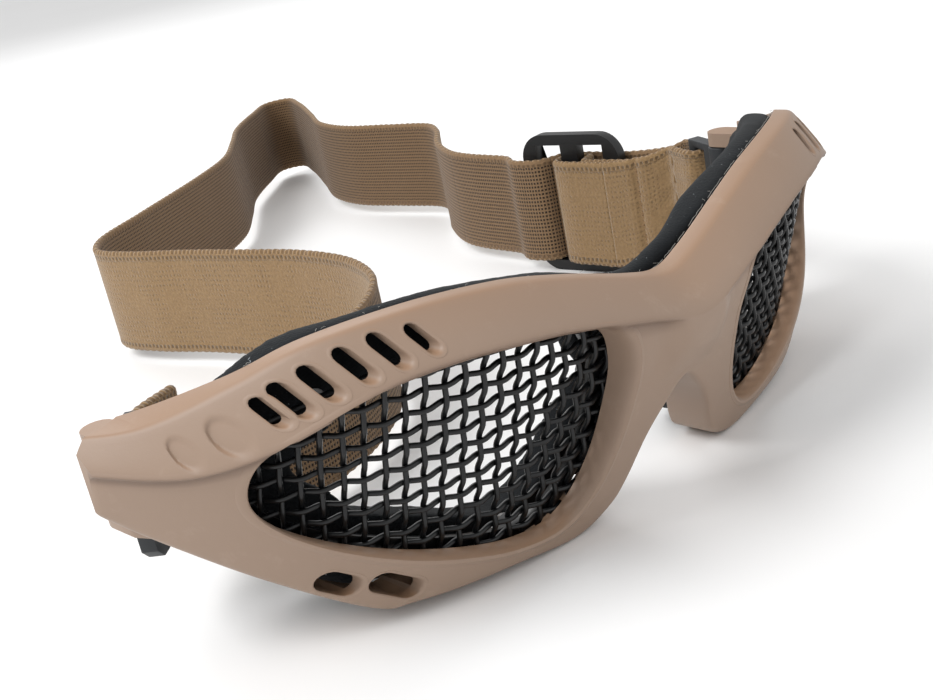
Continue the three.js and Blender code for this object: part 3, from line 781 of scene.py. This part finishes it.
def frame_section(u):
    """The shell's outline at a distance from the bridge: front panel, brow band, flanges and inner wall."""
    wall = SHELL * steepness(u)
    low, crease, high = lower_edge(u), brow_edge(u), top_edge(u)
    corners = [(panel_face(u, low), low, LOW_ROUND)]
    for i in range(1, PANEL_STEPS):
        z = lerp(low + 1.4, crease - 1.1, i / PANEL_STEPS)
        corners.append((panel_face(u, z), z, 0))
    corners.append((panel_face(u, crease) + 0.05, crease - 0.45, 0.5))
    corners.append((brow_face(u, 0) - 0.3 * crease_share(u), crease + 0.1, 1.1))
    for i in range(1, BAND_STEPS):
        share = lerp(0.1, 0.86, i / BAND_STEPS)
        z = lerp(crease, high, share)
        corners.append((brow_face(u, share) + dimple(u, z), z, 0))
    rear = flange_rear(u)
    corners += [
        (brow_face(u, 1), high, lerp(BRIDGE_ROUND, BROW_ROUND, smoothstep(u, 12, 45))),
        (rear, high, FLANGE_ROUND),
        (rear, high - SHELL, FLANGE_ROUND),
    ]
    corners.append((brow_face(u, 0.7) + wall, high - SHELL, 1.2))
    for share in (0.55, 0.35, 0.15):
        z = min(lerp(crease, high, share), high - SHELL - 1.4)
        corners.append((front_face(u, z) + wall, z, 0))
    for i in range(10, -1, -1):
        z = lerp(low + SHELL + 0.2, crease - 1.5, i / 10)
        corners.append((panel_face(u, z) + wall, z, 0.8 if i == 0 else 0))
    back = panel_face(u, low) + CHEEK_FLANGE
    corners += [(back, low + SHELL, FLANGE_ROUND), (back, low, FLANGE_ROUND)]
    return rounded(corners)


def lens_outline(side, margin, samples=6):
    """The outline of one lens opening, grown by margin, as (x, z)."""
    corners = [
        (14.2, 30), (14.4, 23), (16.4, 14.6), (20, 8.2), (25.5, 4.6), (33.5, 5), (42, 7.7), (51.5, 11.8),
        (61, 17.4), (67.5, 23.2), (70.2, 29), (68.6, 35), (62, 38.6), (54, 41.2), (45, 41.9), (36, 41.2),
        (26, 39.6), (17.5, 36.8),
    ]
    centre = Vector((42, 24))
    grown = [Vector(c) + (Vector(c) - centre).normalized() * margin for c in corners]
    return [(side * p.x, p.y) for p in spline(grown, samples, closed=True)]


def slot_outline(x, z, length, width, degrees, margin=0.0, steps=9):
    """A slot with round ends, turned from +X."""
    turn = math.radians(degrees)
    run, radius = (length - width) / 2, width / 2 + margin
    points = []
    for end in (1, -1):
        for k in range(steps):
            swing = turn + math.pi * (k / (steps - 1) - 0.5) + (0 if end > 0 else math.pi)
            points.append((
                x + end * run * math.cos(turn) + radius * math.cos(swing),
                z + end * run * math.sin(turn) + radius * math.sin(swing),
            ))
    return points


BROW_VENTS = [(66, 4.2, 2.0), (63.5, 5, 2.3), (60, 5, 2.3), (55.7, 5, 2.3), (51.4, 5, 2.3), (47, 4.2, 2.0)]
CHEEK_VENTS = [(61, 10.8, 6.4), (53.6, 7.4, 8.4)]
BROW_TILT, CHEEK_TILT, CHEEK_WIDTH = 70, 36, 3.6
VENT_LIP = [(0.75, 0.3), (0.5, -0.06), (0.25, -0.02), (0.05, 0.22), (-0.02, 0.7), (-0.05, 2.6), (0.7, 2.4)]
LENS_LIP = [
    (2.0, 0.5), (1.5, -0.07), (0.9, -0.16), (0.4, 0.12), (0.1, 0.6),
    (-0.1, 1.3), (-0.35, 2.6), (-0.4, "mesh"), (1.6, "mesh"), (1.9, 1.6),
]


def vents(side, margin):
    """The outline of each vent on one side, grown by margin."""
    for u, length, width in BROW_VENTS:
        middle_height = lerp(brow_edge(u), top_edge(u), 0.5)
        yield slot_outline(side * u, middle_height, length, width, side * BROW_TILT, margin)
    for u, z, length in CHEEK_VENTS:
        yield slot_outline(side * u, z, length, CHEEK_WIDTH, side * CHEEK_TILT, margin)


def pin_place(side):
    return Vector((side * PIN_X, PIN_Y))


def circle(centre, radius):
    turns = [math.tau * k / 24 for k in range(24)]
    return [(centre.x + radius * math.cos(a), centre.y + radius * math.sin(a)) for a in turns]


EARS = (35.9, 23.3)  # their undersides
EAR_THICKNESS, EAR_RADIUS, BORE_RADIUS, BARREL_ROOM = 3, 2.7, 1.18, 3.5


def ear_outline(side):
    pin = pin_place(side)
    turns = [math.pi * k / 8 for k in range(9)]
    rounding = [(pin.x + side * EAR_RADIUS * math.cos(a), pin.y + EAR_RADIUS * math.sin(a)) for a in turns]
    front = TEMPLE_REAR - 7
    inner = side * (PIN_X - EAR_RADIUS)
    return [(side * 77.6, front), (side * 80, TEMPLE_REAR - 1), *rounding, (inner, front)]


def frame_shell():
    piece = Piece("frame_body")
    reach = [-u for u in STATIONS[:0:-1]] + STATIONS
    half = {u: frame_section(u) for u in STATIONS}
    piece.loft([[(x, p.x, p.y) for p in half[abs(x)]] for x in reach])
    mesh = piece.mesh
    cut = bmesh.ops.bisect_plane(
        mesh, geom=mesh.verts[:] + mesh.edges[:] + mesh.faces[:], plane_co=row((0, TEMPLE_REAR, 0)),
        plane_no=(0, 1, 0), clear_outer=True,
    )["geom_cut"]
    rim = [e for e in cut if isinstance(e, bmesh.types.BMEdge) and e.is_valid]
    bmesh.ops.holes_fill(mesh, edges=rim)
    body = piece.made()

    cutter = Piece("cutter")
    for side in (-1, 1):
        cutter.prism(lens_outline(side, 0.8), -40, 90)
        for outline in vents(side, 0.3):
            cutter.prism(outline, -40, 90)
        cutter.post(circle(pin_place(side), BARREL_ROOM), EARS[1] + EAR_THICKNESS, EARS[0])
    carved(body, cutter.made())

    ears, bores = Piece("ears"), Piece("bores")
    for side in (-1, 1):
        bores.post(circle(pin_place(side), BORE_RADIUS), 15, 38.1)
        for low in EARS:
            ears.post(ear_outline(side), low, low + EAR_THICKNESS)
    ears = carved(ears.made(), bores.made())

    lips = Piece("lips")
    for side in (-1, 1):
        rings = []
        for margin, depth in LENS_LIP:
            ring = []
            for x, z in lens_outline(side, margin, 8):
                face = mesh_face(abs(x), z) - 0.25 if depth == "mesh" else front_face(abs(x), z) + depth
                ring.append((x, face, z))
            rings.append(ring)
        lips.hoop(rings)
        for outlines in zip(*(vents(side, margin) for margin, _ in VENT_LIP)):
            lips.hoop([
                [(x, front_face(abs(x), z) + depth, z) for x, z in outline]
                for outline, (_, depth) in zip(outlines, VENT_LIP)
            ])
    join = bmesh.new()
    join.from_mesh(body.data)
    for part in (lips.made(), ears):
        join.from_mesh(part.data)
        bpy.data.objects.remove(part)
    join.to_mesh(body.data)
    join.free()
    shade(body, 32)
    # Painted shade: a point attribute that the shell material darkens by. It is strongest along the crease under the
    # brow band and faint on every point off the front face.
    groove = body.data.attributes.new("groove", "FLOAT", "POINT")
    shades = []
    for vert in body.data.vertices:
        x, y, z = (vert.co - ORIGIN) / MM
        u = abs(x)
        near = abs(y - front_face(u, z)) < 1.6
        shades.append(hump(z, brow_edge(u) - 0.5, 0.8) * crease_share(u) if near else 0.1)
    groove.data.foreach_set("value", shades)
    settle(body, "frame", "shell_plastic", [SHELL_PLASTIC], "frame_shell")


# ---- woven lenses ----
PITCH, WIRE_RADIUS, CRIMP = 3.05, 0.45, 0.4
ROW = PITCH * 0.96
WAVE_STEPS, WANDER = 7, 0.13
arc_u = np.linspace(0, 84, 841)
arc_length = np.concatenate(([0], np.cumsum(np.hypot(np.diff(arc_u), np.diff([wrap(u) for u in arc_u])))))


def crossings(outline, axis, value):
    """Where an outline crosses a line at one value of an axis: the lowest and highest of the other axis."""
    found = []
    for a, b in zip(outline, outline[1:] + outline[:1]):
        if (a[axis] - value) * (b[axis] - value) < 0:
            share = (value - a[axis]) / (b[axis] - a[axis])
            found.append(lerp(a[1 - axis], b[1 - axis], share))
    return (min(found), max(found)) if len(found) > 1 else (0, 0)


def woven_lens(side, word, seed):
    draw = random.Random(seed)
    piece = Piece(f"woven_wire_{word}")
    outline = lens_outline(1, 0.9)
    first = float(np.interp(14, arc_u, arc_length))

    def surface(u, z, lift):
        front = Vector((side * slope(u), -1, -MESH_LEAN)).normalized()
        return Vector((side * u, mesh_face(u, z) + 0.7 * steepness(u), z)) + front * lift

    def drift(amount):
        phase, turn = draw.uniform(0, math.tau), draw.uniform(0.1, 0.2)
        shift = draw.uniform(-amount, amount)
        return lambda v: shift + amount * 0.9 * math.sin(v * turn + phase)

    for i in range(-1, 28):
        wander = drift(WANDER)
        centre = first + i * PITCH
        u_mid = float(np.interp(centre, arc_length, arc_u))
        low, high = crossings(outline, 0, u_mid)
        if high - low < 2:
            continue
        steps = max(4, round((high - low) / ROW * WAVE_STEPS))
        path = []
        for k in range(steps + 1):
            z = lerp(low, high, k / steps)
            u = float(np.interp(centre + wander(z), arc_length, arc_u))
            path.append(surface(u, z, CRIMP * math.cos(math.pi * z / ROW) * (-1) ** i))
        piece.tube(path, WIRE_RADIUS, 8)
    for k in range(1, 16):
        wander = drift(WANDER)
        height = k * ROW
        low, high = crossings(outline, 1, height)
        if high - low < 2:
            continue
        start, end = (float(np.interp(u, arc_u, arc_length)) for u in (low, high))
        steps = max(4, round((end - start) / PITCH * WAVE_STEPS))
        path = []
        for j in range(steps + 1):
            s = lerp(start, end, j / steps)
            u = float(np.interp(s, arc_length, arc_u))
            lift = -CRIMP * math.cos(math.pi * (s - first) / PITCH) * (-1) ** k
            path.append(surface(u, height + wander(s), lift))
        piece.tube(path, WIRE_RADIUS, 8, up=(0, 0, 1))
    lens = piece.made()
    settle(lens, "frame", "wire_mesh", [WIRE], f"mesh_lens_{word}")


# ---- foam pad ----
PAD_THICK, PAD_NOSE_THICK = 7.2, 4.5
PAD_STATIONS = [1.25 * i for i in range(-56, 57)]
PAD_VOXEL, PAD_SMOOTHING = 0.8, 4
PAD_LEVELS = [k / 9 for k in range(10)]
EYE_MARGINS = (0.3, -4.5, -11)  # of the eye openings at the nose, beside the eye and at the temple


def pad_crown(u):
    return top_edge(u) - 0.4 - 2.5 * smoothstep(u, 55, 70)


def foam_pad():
    piece = Piece("face_pad")

    def section(x):
        u = abs(x)
        taper = smoothstep(u, 55, 70)
        flange = flange_rear(u)
        over_edge = lerp(SHELL + 0.5, 0.2, smoothstep(u, 30, 42))
        low = lerp(lower_edge(u) + over_edge, brow_edge(u) - 4, 0.6 * smoothstep(u, 63, 71))
        high = top_edge(u) - SHELL - 0.6
        crown = pad_crown(u)

        def start(z):
            behind_shell = front_face(u, z) + SHELL * steepness(u)
            behind_lens = max(behind_shell, mesh_face(u, z) + 5.9 * steepness(u))
            return lerp(behind_shell, behind_lens, max(smoothstep(u, 11, 15), smoothstep(z, 24, 32))) + 0.5

        thick = lerp(PAD_NOSE_THICK, PAD_THICK, smoothstep(u, 8, 20))
        thick *= min(steepness(u), 1.3) * (1 - 0.3 * taper)
        front = [(start(z), z) for z in (lerp(low, high, share) for share in PAD_LEVELS)]
        lip = max(flange + 0.4, front[-1][0])
        rear = max(start(high) + thick, lip + 4)
        over_lip = [(lip, high), (lip + 0.2, crown - 0.6), (lip + 1.5, crown)]
        over_rear = [(rear - 1.4, crown), (rear, crown - 1)]
        back = [(start(z) + thick, z) for z in (lerp(low, crown, share) for share in PAD_LEVELS[-2::-1])]
        return front + over_lip + over_rear + back

    piece.loft([[(x, y, z) for y, z in section(x)] for x in PAD_STATIONS])
    pad = piece.made()
    cutter = Piece("cutter")
    for side in (-1, 1):
        hole = []
        for nose, middle_part, temple in zip(*(lens_outline(side, margin) for margin in EYE_MARGINS)):
            outward = smoothstep(abs(middle_part[0]), 20, 40)
            last = smoothstep(abs(middle_part[0]), 50, 64)
            hole.append([lerp(lerp(nose[i], middle_part[i], outward), temple[i], last) for i in (0, 1)])
        cutter.prism(hole, -40, 90)
    carved(pad, cutter.made())
    remesh = pad.modifiers.new("remesh", "REMESH")
    remesh.mode, remesh.voxel_size = "VOXEL", PAD_VOXEL * MM
    applied(pad)
    mesh = bmesh.new()
    mesh.from_mesh(pad.data)
    axes = {"use_axis_x": True, "use_axis_y": True, "use_axis_z": True}
    for _ in range(PAD_SMOOTHING):
        bmesh.ops.smooth_vert(mesh, verts=mesh.verts[:], factor=0.5, **axes)
    mesh.normal_update()
    moves = []
    for vert in mesh.verts:
        x, y, z = vert.co / MM
        moves.append(0.07 * math.sin(x * 0.31 + z * 0.2) + 0.05 * math.sin(z * 0.5 - x * 0.23))
    for vert, move in zip(mesh.verts, moves):
        vert.co += vert.normal * move * MM
    for face in mesh.faces:
        face.smooth = True
    mesh.to_mesh(pad.data)
    mesh.free()
    settle(pad, "frame", "foam", [PAD], "foam_pad")
    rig.padded(pad, fill=0.6)


# ---- strap ----
STRAP_THICKNESS, STRAP_LIFT, GAP = 1.5, 3, 0.3
GATHERED, GATHERED_TOP = 18, 33.5
SLIDER = Vector((82, 95.5))
SLIDER_TURN = math.radians(97.5)
SLIDER_ALONG = Vector((math.cos(SLIDER_TURN), math.sin(SLIDER_TURN)))
SLIDER_ACROSS = Vector((-SLIDER_ALONG.y, SLIDER_ALONG.x))
TURNS = {"left": math.radians(66), "right": math.radians(40)}
REACH, LEG_END = 11.2, 17.2
ROUND_BAR = math.hypot(2.8, 2.8) / 2 + GAP / 2 + STRAP_THICKNESS / 2
ON_BAR = 1.5 + GAP + STRAP_THICKNESS / 2
LAYER = STRAP_THICKNESS + GAP
FULL = (STRAP_LIFT, STRAP_LIFT + STRAP_WIDTH)
PARTLY = (7, 31.4)


def at_slider(along, over):
    spot = SLIDER + SLIDER_ALONG * along + SLIDER_ACROSS * over
    return (spot.x, spot.y, *FULL)


def at_bracket(word, along, over, gathered=1.0):
    turn = TURNS[word]
    pin = pin_place(1 if word == "left" else -1)
    low = lerp(STRAP_LIFT, GATHERED_TOP - GATHERED, gathered)
    width = lerp(STRAP_WIDTH, GATHERED, gathered)
    x = pin.x + math.cos(turn) * along - math.sin(turn) * over
    y = pin.y + math.sin(turn) * along + math.cos(turn) * over
    return (x, y, low, low + width)


class Route:
    """A smooth way along a strap: x, y and its lower and upper edge, evenly spaced."""

    def __init__(self, points, step=0.5):
        drawn = self.bend([Vector(p) for p in points])
        steps = [(b.xy - a.xy).length for a, b in zip(drawn, drawn[1:])]
        reach = np.concatenate(([0], np.cumsum(steps)))
        self.length = float(reach[-1])
        count = max(2, round(self.length / step))
        spots = np.linspace(0, self.length, count + 1)
        columns = [np.interp(spots, reach, [p[k] for p in drawn]) for k in range(4)]
        self.points = [Vector(p) for p in zip(*columns)]

    @staticmethod
    def bend(points):
        """A centripetal curve through the points."""
        padded = [points[0] * 2 - points[1], *points, points[-1] * 2 - points[-2]]
        drawn = []
        for a, b, c, d in zip(padded, padded[1:], padded[2:], padded[3:]):
            before, here, after = (max((q - p).xyz.length**0.5, 1e-4) for p, q in ((a, b), (b, c), (c, d)))
            lean_in = ((b - a) / before - (c - a) / (before + here) + (c - b) / here) * here
            lean_out = ((c - b) / here - (d - b) / (here + after) + (d - c) / after) * here
            drawn += [curve_point(b, c, lean_in, lean_out, k / 16) for k in range(16)]
        return drawn + [points[-1]]

    def nearest(self, x, y):
        """How far along the point nearest a place is."""
        spot = min(range(len(self.points)), key=lambda i: (self.points[i].xy - Vector((x, y))).length)
        return spot / (len(self.points) - 1) * self.length


FACE_STEPS = 18
PILE, GRID, EDGE = 0, 1, 2


def strap_section(face_left, face_right):
    """Round the strap: share of its width, sideways share and finish, for each point."""
    points = []
    for k in range(FACE_STEPS + 1):
        w = 0.03 + 0.94 * k / FACE_STEPS
        points.append((w, 1, face_left))
    points += [(0.992, 0.75, EDGE), (1.0, 0, EDGE), (0.992, -0.75, EDGE)]
    for k in range(FACE_STEPS, -1, -1):
        w = 0.03 + 0.94 * k / FACE_STEPS
        points.append((w, -1, face_right))
    points += [(0.008, -0.75, EDGE), (0, 0, EDGE), (0.008, 0.75, EDGE)]
    return points


def webbing(name, route, left, right, offset=0.0, start=0.0, end=None, pinch=None):
    """A stretch of strap on edge, from start to end along its route, with one face to the left of its way."""
    end = route.length if end is None else end
    total = len(route.points) - 1
    first, last = round(start / route.length * total), round(end / route.length * total)
    section = strap_section(left, right)
    count = len(section)
    rings = []
    for i in range(first, last + 1):
        here = route.points[i]
        ahead, behind = route.points[min(i + 1, total)], route.points[max(i - 1, 0)]
        way = (ahead - behind).xy.normalized()
        side = Vector((-way.y, way.x))
        along = i / total * route.length
        height = here[3] - here[2]
        squeeze = STRAP_WIDTH / height
        ring = []
        for w, share, _ in section:
            half = STRAP_THICKNESS / 2 * (1.08 if 0.02 < w < 0.08 or 0.92 < w < 0.98 else 0.94)
            push = half * share
            if squeeze > 1.02:
                push += 0.32 * (squeeze - 1) * math.sin(w * math.tau * 4)
            if pinch:
                push += pinch(along, w)
            scallop = 0.1 * math.sin(along * math.tau / 2.2) * (1 if w > 0.9 else -1 if w < 0.1 else 0)
            spot = here.xy + side * push
            ring.append((spot.x, spot.y, here[2] + w * height + scallop))
        rings.append(ring)
    piece = Piece(name)
    steps = len(rings) - 1

    def uv(s, t):
        k = min(round(t * count), count)
        w = section[k % count][0]
        return ((offset + start + s * (end - start)) * MM, w * STRAP_WIDTH * MM)

    piece.skin(
        steps, count, lambda s, t: rings[round(s * steps)][round(t * count) % count], uv,
        lambda t: section[int(t * count) % count][2],
    )
    return piece.made(), end - start


def strap_piece(name, route, left, right, body, nodes, held, rests_on, **settings):
    thing, length = webbing(name, route, left, right, **settings)
    settle(thing, body, "webbing", STRAP, *nodes)
    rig.sheet(thing, flat=(STRAP_WIDTH * MM, length * MM), held=held, rests_on=rests_on)
    return thing


BEND = {"left": 14, "right": 26}  # how much of the strap bends; the left side stops short of the slider


def bracket_bend(thing, word):
    """Bends a leg of the strap with the bracket that it hangs from."""
    start, end = at_bracket(word, LEG_END + BEND[word], 0), at_bracket(word, LEG_END + 1, 0)
    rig.blend(thing, "frame", f"bracket_{word}", start=row(start[:3]), end=row(end[:3]))


SLOT_MIDDLE = 6.25
SLIDER_HALF = 14.5
BAR_SIDE = 2.5 + 2 * GAP + STRAP_THICKNESS / 2
outer_route = Route([
    at_bracket("left", LEG_END, -ROUND_BAR),
    at_bracket("left", LEG_END + 4.4, -ROUND_BAR, 0.9),
    (88.7, 70, *PARTLY),
    at_slider(-14, -ON_BAR - LAYER),
    at_slider(0, -ON_BAR - LAYER),
    at_slider(SLOT_MIDDLE - 1.4, -ON_BAR - LAYER + 0.5),
    at_slider(SLOT_MIDDLE + 0.9, 0),
    at_slider(SLOT_MIDDLE + 3.1, ON_BAR + 0.1),
    at_slider(SLIDER_HALF + 2, ON_BAR + 0.5),
    (79.9, 117, *FULL), (80.4, 124, *FULL), (80.6, 131, *FULL), (82.5, 141, *FULL), (91, 156, *FULL),
    (103.5, 170, *FULL), (108, 179, *FULL), (106, 196, *FULL), (103.5, 214, *FULL), (107, 232, *FULL),
    (118, 252, *FULL), (132, 278, *FULL), (137.5, 293, *FULL), (131, 297, *FULL), (117, 287, *FULL),
    (98, 270, *FULL), (83, 251, *FULL), (67, 232, *FULL), (49, 219, *FULL), (18, 201, *FULL),
    (-2, 189, *FULL), (-8, 179, *FULL), (-6, 165, *FULL), (-1, 150, *FULL), (4, 131, *FULL),
    (8, 114, *FULL), (8, 96, *FULL), (3, 82, *FULL), (-4, 73.5, *FULL), (-13, 67, *FULL),
    (-26, 61.5, *FULL), (-40, 60, *FULL), (-54, 61, *PARTLY),
    at_bracket("right", LEG_END + 4.4, -ROUND_BAR - 0.6, 0.9),
    at_bracket("right", LEG_END, -ROUND_BAR),
])
sewn_route = Route([
    at_bracket("left", LEG_END, ROUND_BAR),
    at_bracket("left", LEG_END + 2.4, ROUND_BAR, 0.9),
    (81.3, 71, *PARTLY),
    at_slider(-14, ON_BAR + LAYER),
    at_slider(-5, ON_BAR + LAYER),
    at_slider(0, ON_BAR + LAYER - 0.2),
    at_slider(BAR_SIDE - 0.3, ON_BAR + 0.1),
    at_slider(BAR_SIDE, 0),
    at_slider(BAR_SIDE - 0.3, -ON_BAR),
    at_slider(0, -ON_BAR - 0.1),
    at_slider(-BAR_SIDE + 0.3, -ON_BAR),
    at_slider(-BAR_SIDE, 0),
    at_slider(-BAR_SIDE - 0.8, ON_BAR - 0.5),
    at_slider(-9, ON_BAR),
    at_slider(-17, ON_BAR),
    at_slider(-23, ON_BAR),
])


def loop_route(word):
    points = [at_bracket(word, LEG_END, ROUND_BAR), at_bracket(word, REACH + 3, ROUND_BAR)]
    for k in range(7):
        swing = math.pi / 2 + math.pi * k / 6
        points.append(at_bracket(word, REACH + ROUND_BAR * math.cos(swing), ROUND_BAR * math.sin(swing)))
    points += [at_bracket(word, REACH + 3, -ROUND_BAR), at_bracket(word, LEG_END, -ROUND_BAR)]
    return Route(points)


tail_route = Route([
    at_bracket("right", LEG_END, ROUND_BAR),
    at_bracket("right", LEG_END + 4.4, ROUND_BAR - 0.6, 0.9),
    at_bracket("right", LEG_END + 14.4, 1.2, 0.5),
])


def elastic_strap():
    before_slot = outer_route.nearest(*at_slider(-9, -ON_BAR - LAYER)[:2])
    in_slot = outer_route.nearest(*at_slider(SLOT_MIDDLE + 0.9, 0)[:2])
    past_slider = outer_route.nearest(82.5, 141)
    seam = sewn_route.nearest(*at_slider(-21, ON_BAR + LAYER)[:2])
    fold = sewn_route.nearest(*at_slider(-12, ON_BAR + LAYER)[:2])

    def seam_pinch(along, w):
        """The seam draws the layers together, and they swell on each side of it."""
        wave = 0.75 + 0.25 * math.sin(w * 61)
        swell = 0.3 * hump(along, seam - 2.4, 1.1) + 0.25 * hump(along, seam + 2.4, 1.1)
        return (swell - 0.75 * hump(along, seam, 0.7)) * wave

    outer = strap_piece(
        "strap_outer_leg", outer_route, GRID, PILE, None, ["strap_outer_run"], "hung",
        ["strap_bracket_left", "strap_slider"], end=before_slot,
    )
    bracket_bend(outer, "left")
    ends = row(at_slider(-9, 0)[:3]), row(at_slider(-1, 0)[:3])
    into_slot = strap_piece(
        "strap_into_slot", outer_route, GRID, PILE, None, [], "hung", ["strap_slider"],
        start=before_slot, end=in_slot,
    )
    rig.blend(into_slot, "frame", "slider", start=ends[0], end=ends[1])
    from_slot = strap_piece(
        "strap_from_slot", outer_route, GRID, PILE, None, [], "hung", ["strap_slider"],
        start=in_slot, end=past_slider,
    )
    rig.blend(from_slot, "frame", "slider", start=row(at_slider(42, 0)[:3]), end=row(at_slider(17, 0)[:3]))
    main = strap_piece(
        "strap_long_run", outer_route, GRID, PILE, None, ["strap_main"], "hung",
        ["strap_slider", "strap_bracket_right"], start=past_slider,
    )
    bracket_bend(main, "right")
    sewn = strap_piece(
        "strap_sewn_leg", sewn_route, PILE, GRID, None, ["strap_sewn_end"], "hung",
        ["strap_bracket_left"], end=fold, pinch=seam_pinch, offset=300.0,
    )
    bracket_bend(sewn, "left")
    folded = strap_piece(
        "strap_round_bar", sewn_route, PILE, GRID, None, [], "folded", ["strap_slider"],
        start=fold, offset=300.0,
    )
    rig.blend(folded, "frame", "slider", start=row(at_slider(-20, 0)[:3]), end=row(at_slider(-5, 0)[:3]))
    for word, faces in (("left", (GRID, PILE)), ("right", (PILE, GRID))):
        strap_piece(
            f"strap_bar_loop_{word}", loop_route(word), *faces, f"bracket_{word}", [f"strap_loop_{word}"],
            "gathered", [f"strap_bracket_{word}"], offset=500.0,
        )
    tail = strap_piece(
        "strap_folded_tail", tail_route, GRID, PILE, None, ["strap_tail"], "folded",
        ["strap_bracket_right"], offset=600.0,
    )
    bracket_bend(tail, "right")

    stitches = Piece("seam_stitches")
    spot = sewn_route.points[round(seam / sewn_route.length * (len(sewn_route.points) - 1))]
    side = SLIDER_ACROSS
    path = []
    for k in range(40):
        base = spot.xy + side * (STRAP_THICKNESS / 2 - 0.6) + SLIDER_ALONG * (0.4 if k % 2 else -0.4)
        path.append(Vector((base.x, base.y, lerp(spot[2] + 1, spot[3] - 1, k / 39))))
    stitches.tube(spline(path, 3), 0.16, 6, up=(1, 0, 0))
    settle(stitches.made(), "frame", "webbing", [SEAM_THREAD])


# ---- loose fibres on the pad's seam ----
def loose_fibres():
    """Short stray fibres and a broken line of frayed edge along the pad's seam."""
    draw = random.Random(7)
    piece = Piece("frayed_fibres")
    for _ in range(30):
        x = draw.uniform(-66, 62)
        u = abs(x)
        start = Vector((x, flange_rear(u) + draw.uniform(-0.2, 0.6), top_edge(u) + draw.uniform(-0.3, 0.15)))
        way = Vector((draw.uniform(-1, 1), draw.uniform(-0.5, 0.7), draw.uniform(-0.1, 0.35)))
        length = draw.uniform(0.4, 1.4)
        curl = Vector((draw.uniform(-0.4, 0.4), draw.uniform(-0.4, 0.4), draw.uniform(-0.1, 0.3)))
        path = [start + way * (length * k / 4) + curl * math.sin(k) * length * 0.3 for k in range(5)]
        piece.tube(path, draw.uniform(0.02, 0.04), 5, up=(0, 0.3, 1))
    at = -64
    while at < 60:
        end = at + draw.uniform(1.5, 6)
        path = []
        for k in range(9):
            x = lerp(at, end, k / 8)
            y = flange_rear(abs(x)) + 0.75 + draw.uniform(-0.06, 0.06)
            path.append(Vector((x, y, pad_crown(abs(x)) - 0.25 + draw.uniform(-0.07, 0.07))))
        piece.tube(path, 0.05, 5, up=(0, 0.3, 1))
        at = end + draw.uniform(0.3, 2)
    settle(piece.made(), "frame", "foam", [LOOSE_FIBRE])


# ---- the rest ----
def hardware():
    for word in ("left", "right"):
        bracket = softened(f"strap_bracket_{word}", 0.35)
        settle(bracket, f"bracket_{word}", "bracket_plastic", [SLATE], f"strap_bracket_{word}")
        ring = softened(f"lens_retainer_{word}", 0.3, 2)
        settle(ring, "frame", "retainer_plastic", [RETAINER], f"lens_retainer_{word}")
        for node in [f"bracket_pin_{word}"] + [f"retainer_screw_{word}_{i}" for i in range(1, 6)]:
            thing = frame["nodes"][node]
            thing.data.materials.clear()
            thing.data.materials.append(STEEL)
    slider = softened("strap_slider", 0.9, 4)
    settle(slider, "slider", "slider_plastic", [SLIDER_BLACK], "strap_slider")


DAYLIGHT, TABLE_HALF = 0.78, 6
LAMPS = [
    ("key", (-0.6, 0.1, 0.7), 0.45, 5.5),
    ("fill", (0.1, -0.8, 0.5), 0.8, 0.9),
    ("back", (0.3, 0.75, 0.7), 0.6, 3),
]


def studio():
    """A pale table top under soft lamps, each with its place, size and power."""
    floor = bpy.data.objects.new("table", bpy.data.meshes.new("table"))
    bpy.context.scene.collection.objects.link(floor)
    mesh = bmesh.new()
    bmesh.ops.create_grid(mesh, x_segments=1, y_segments=1, size=TABLE_HALF)
    mesh.to_mesh(floor.data)
    mesh.free()
    floor.data.materials.append(table_top())
    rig.stage(floor)
    bpy.context.scene.view_settings.view_transform = "Standard"
    world = bpy.data.worlds.new("studio")
    world.use_nodes = True
    world.node_tree.nodes["Background"].inputs[0].default_value = (1, 1, 1, 1)
    world.node_tree.nodes["Background"].inputs[1].default_value = DAYLIGHT
    bpy.context.scene.world = world
    for name, place, size, power in LAMPS:
        light = bpy.data.lights.new(name, "AREA")
        light.size, light.energy = size, power
        lamp = bpy.data.objects.new(name, light)
        lamp.location = place
        lamp.rotation_euler = (Vector(place) - Vector((0, -0.05, 0.03))).to_track_quat("Z", "Y").to_euler()
        bpy.context.scene.collection.objects.link(lamp)


frame_shell()
woven_lens(1, "left", 3)
woven_lens(-1, "right", 5)
foam_pad()
elastic_strap()
loose_fibres()
hardware()
studio()

with open("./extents.json", "w") as out:
    json.dump({"cad": cad_box, "visual": [list(corner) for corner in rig.bounds()]}, out)
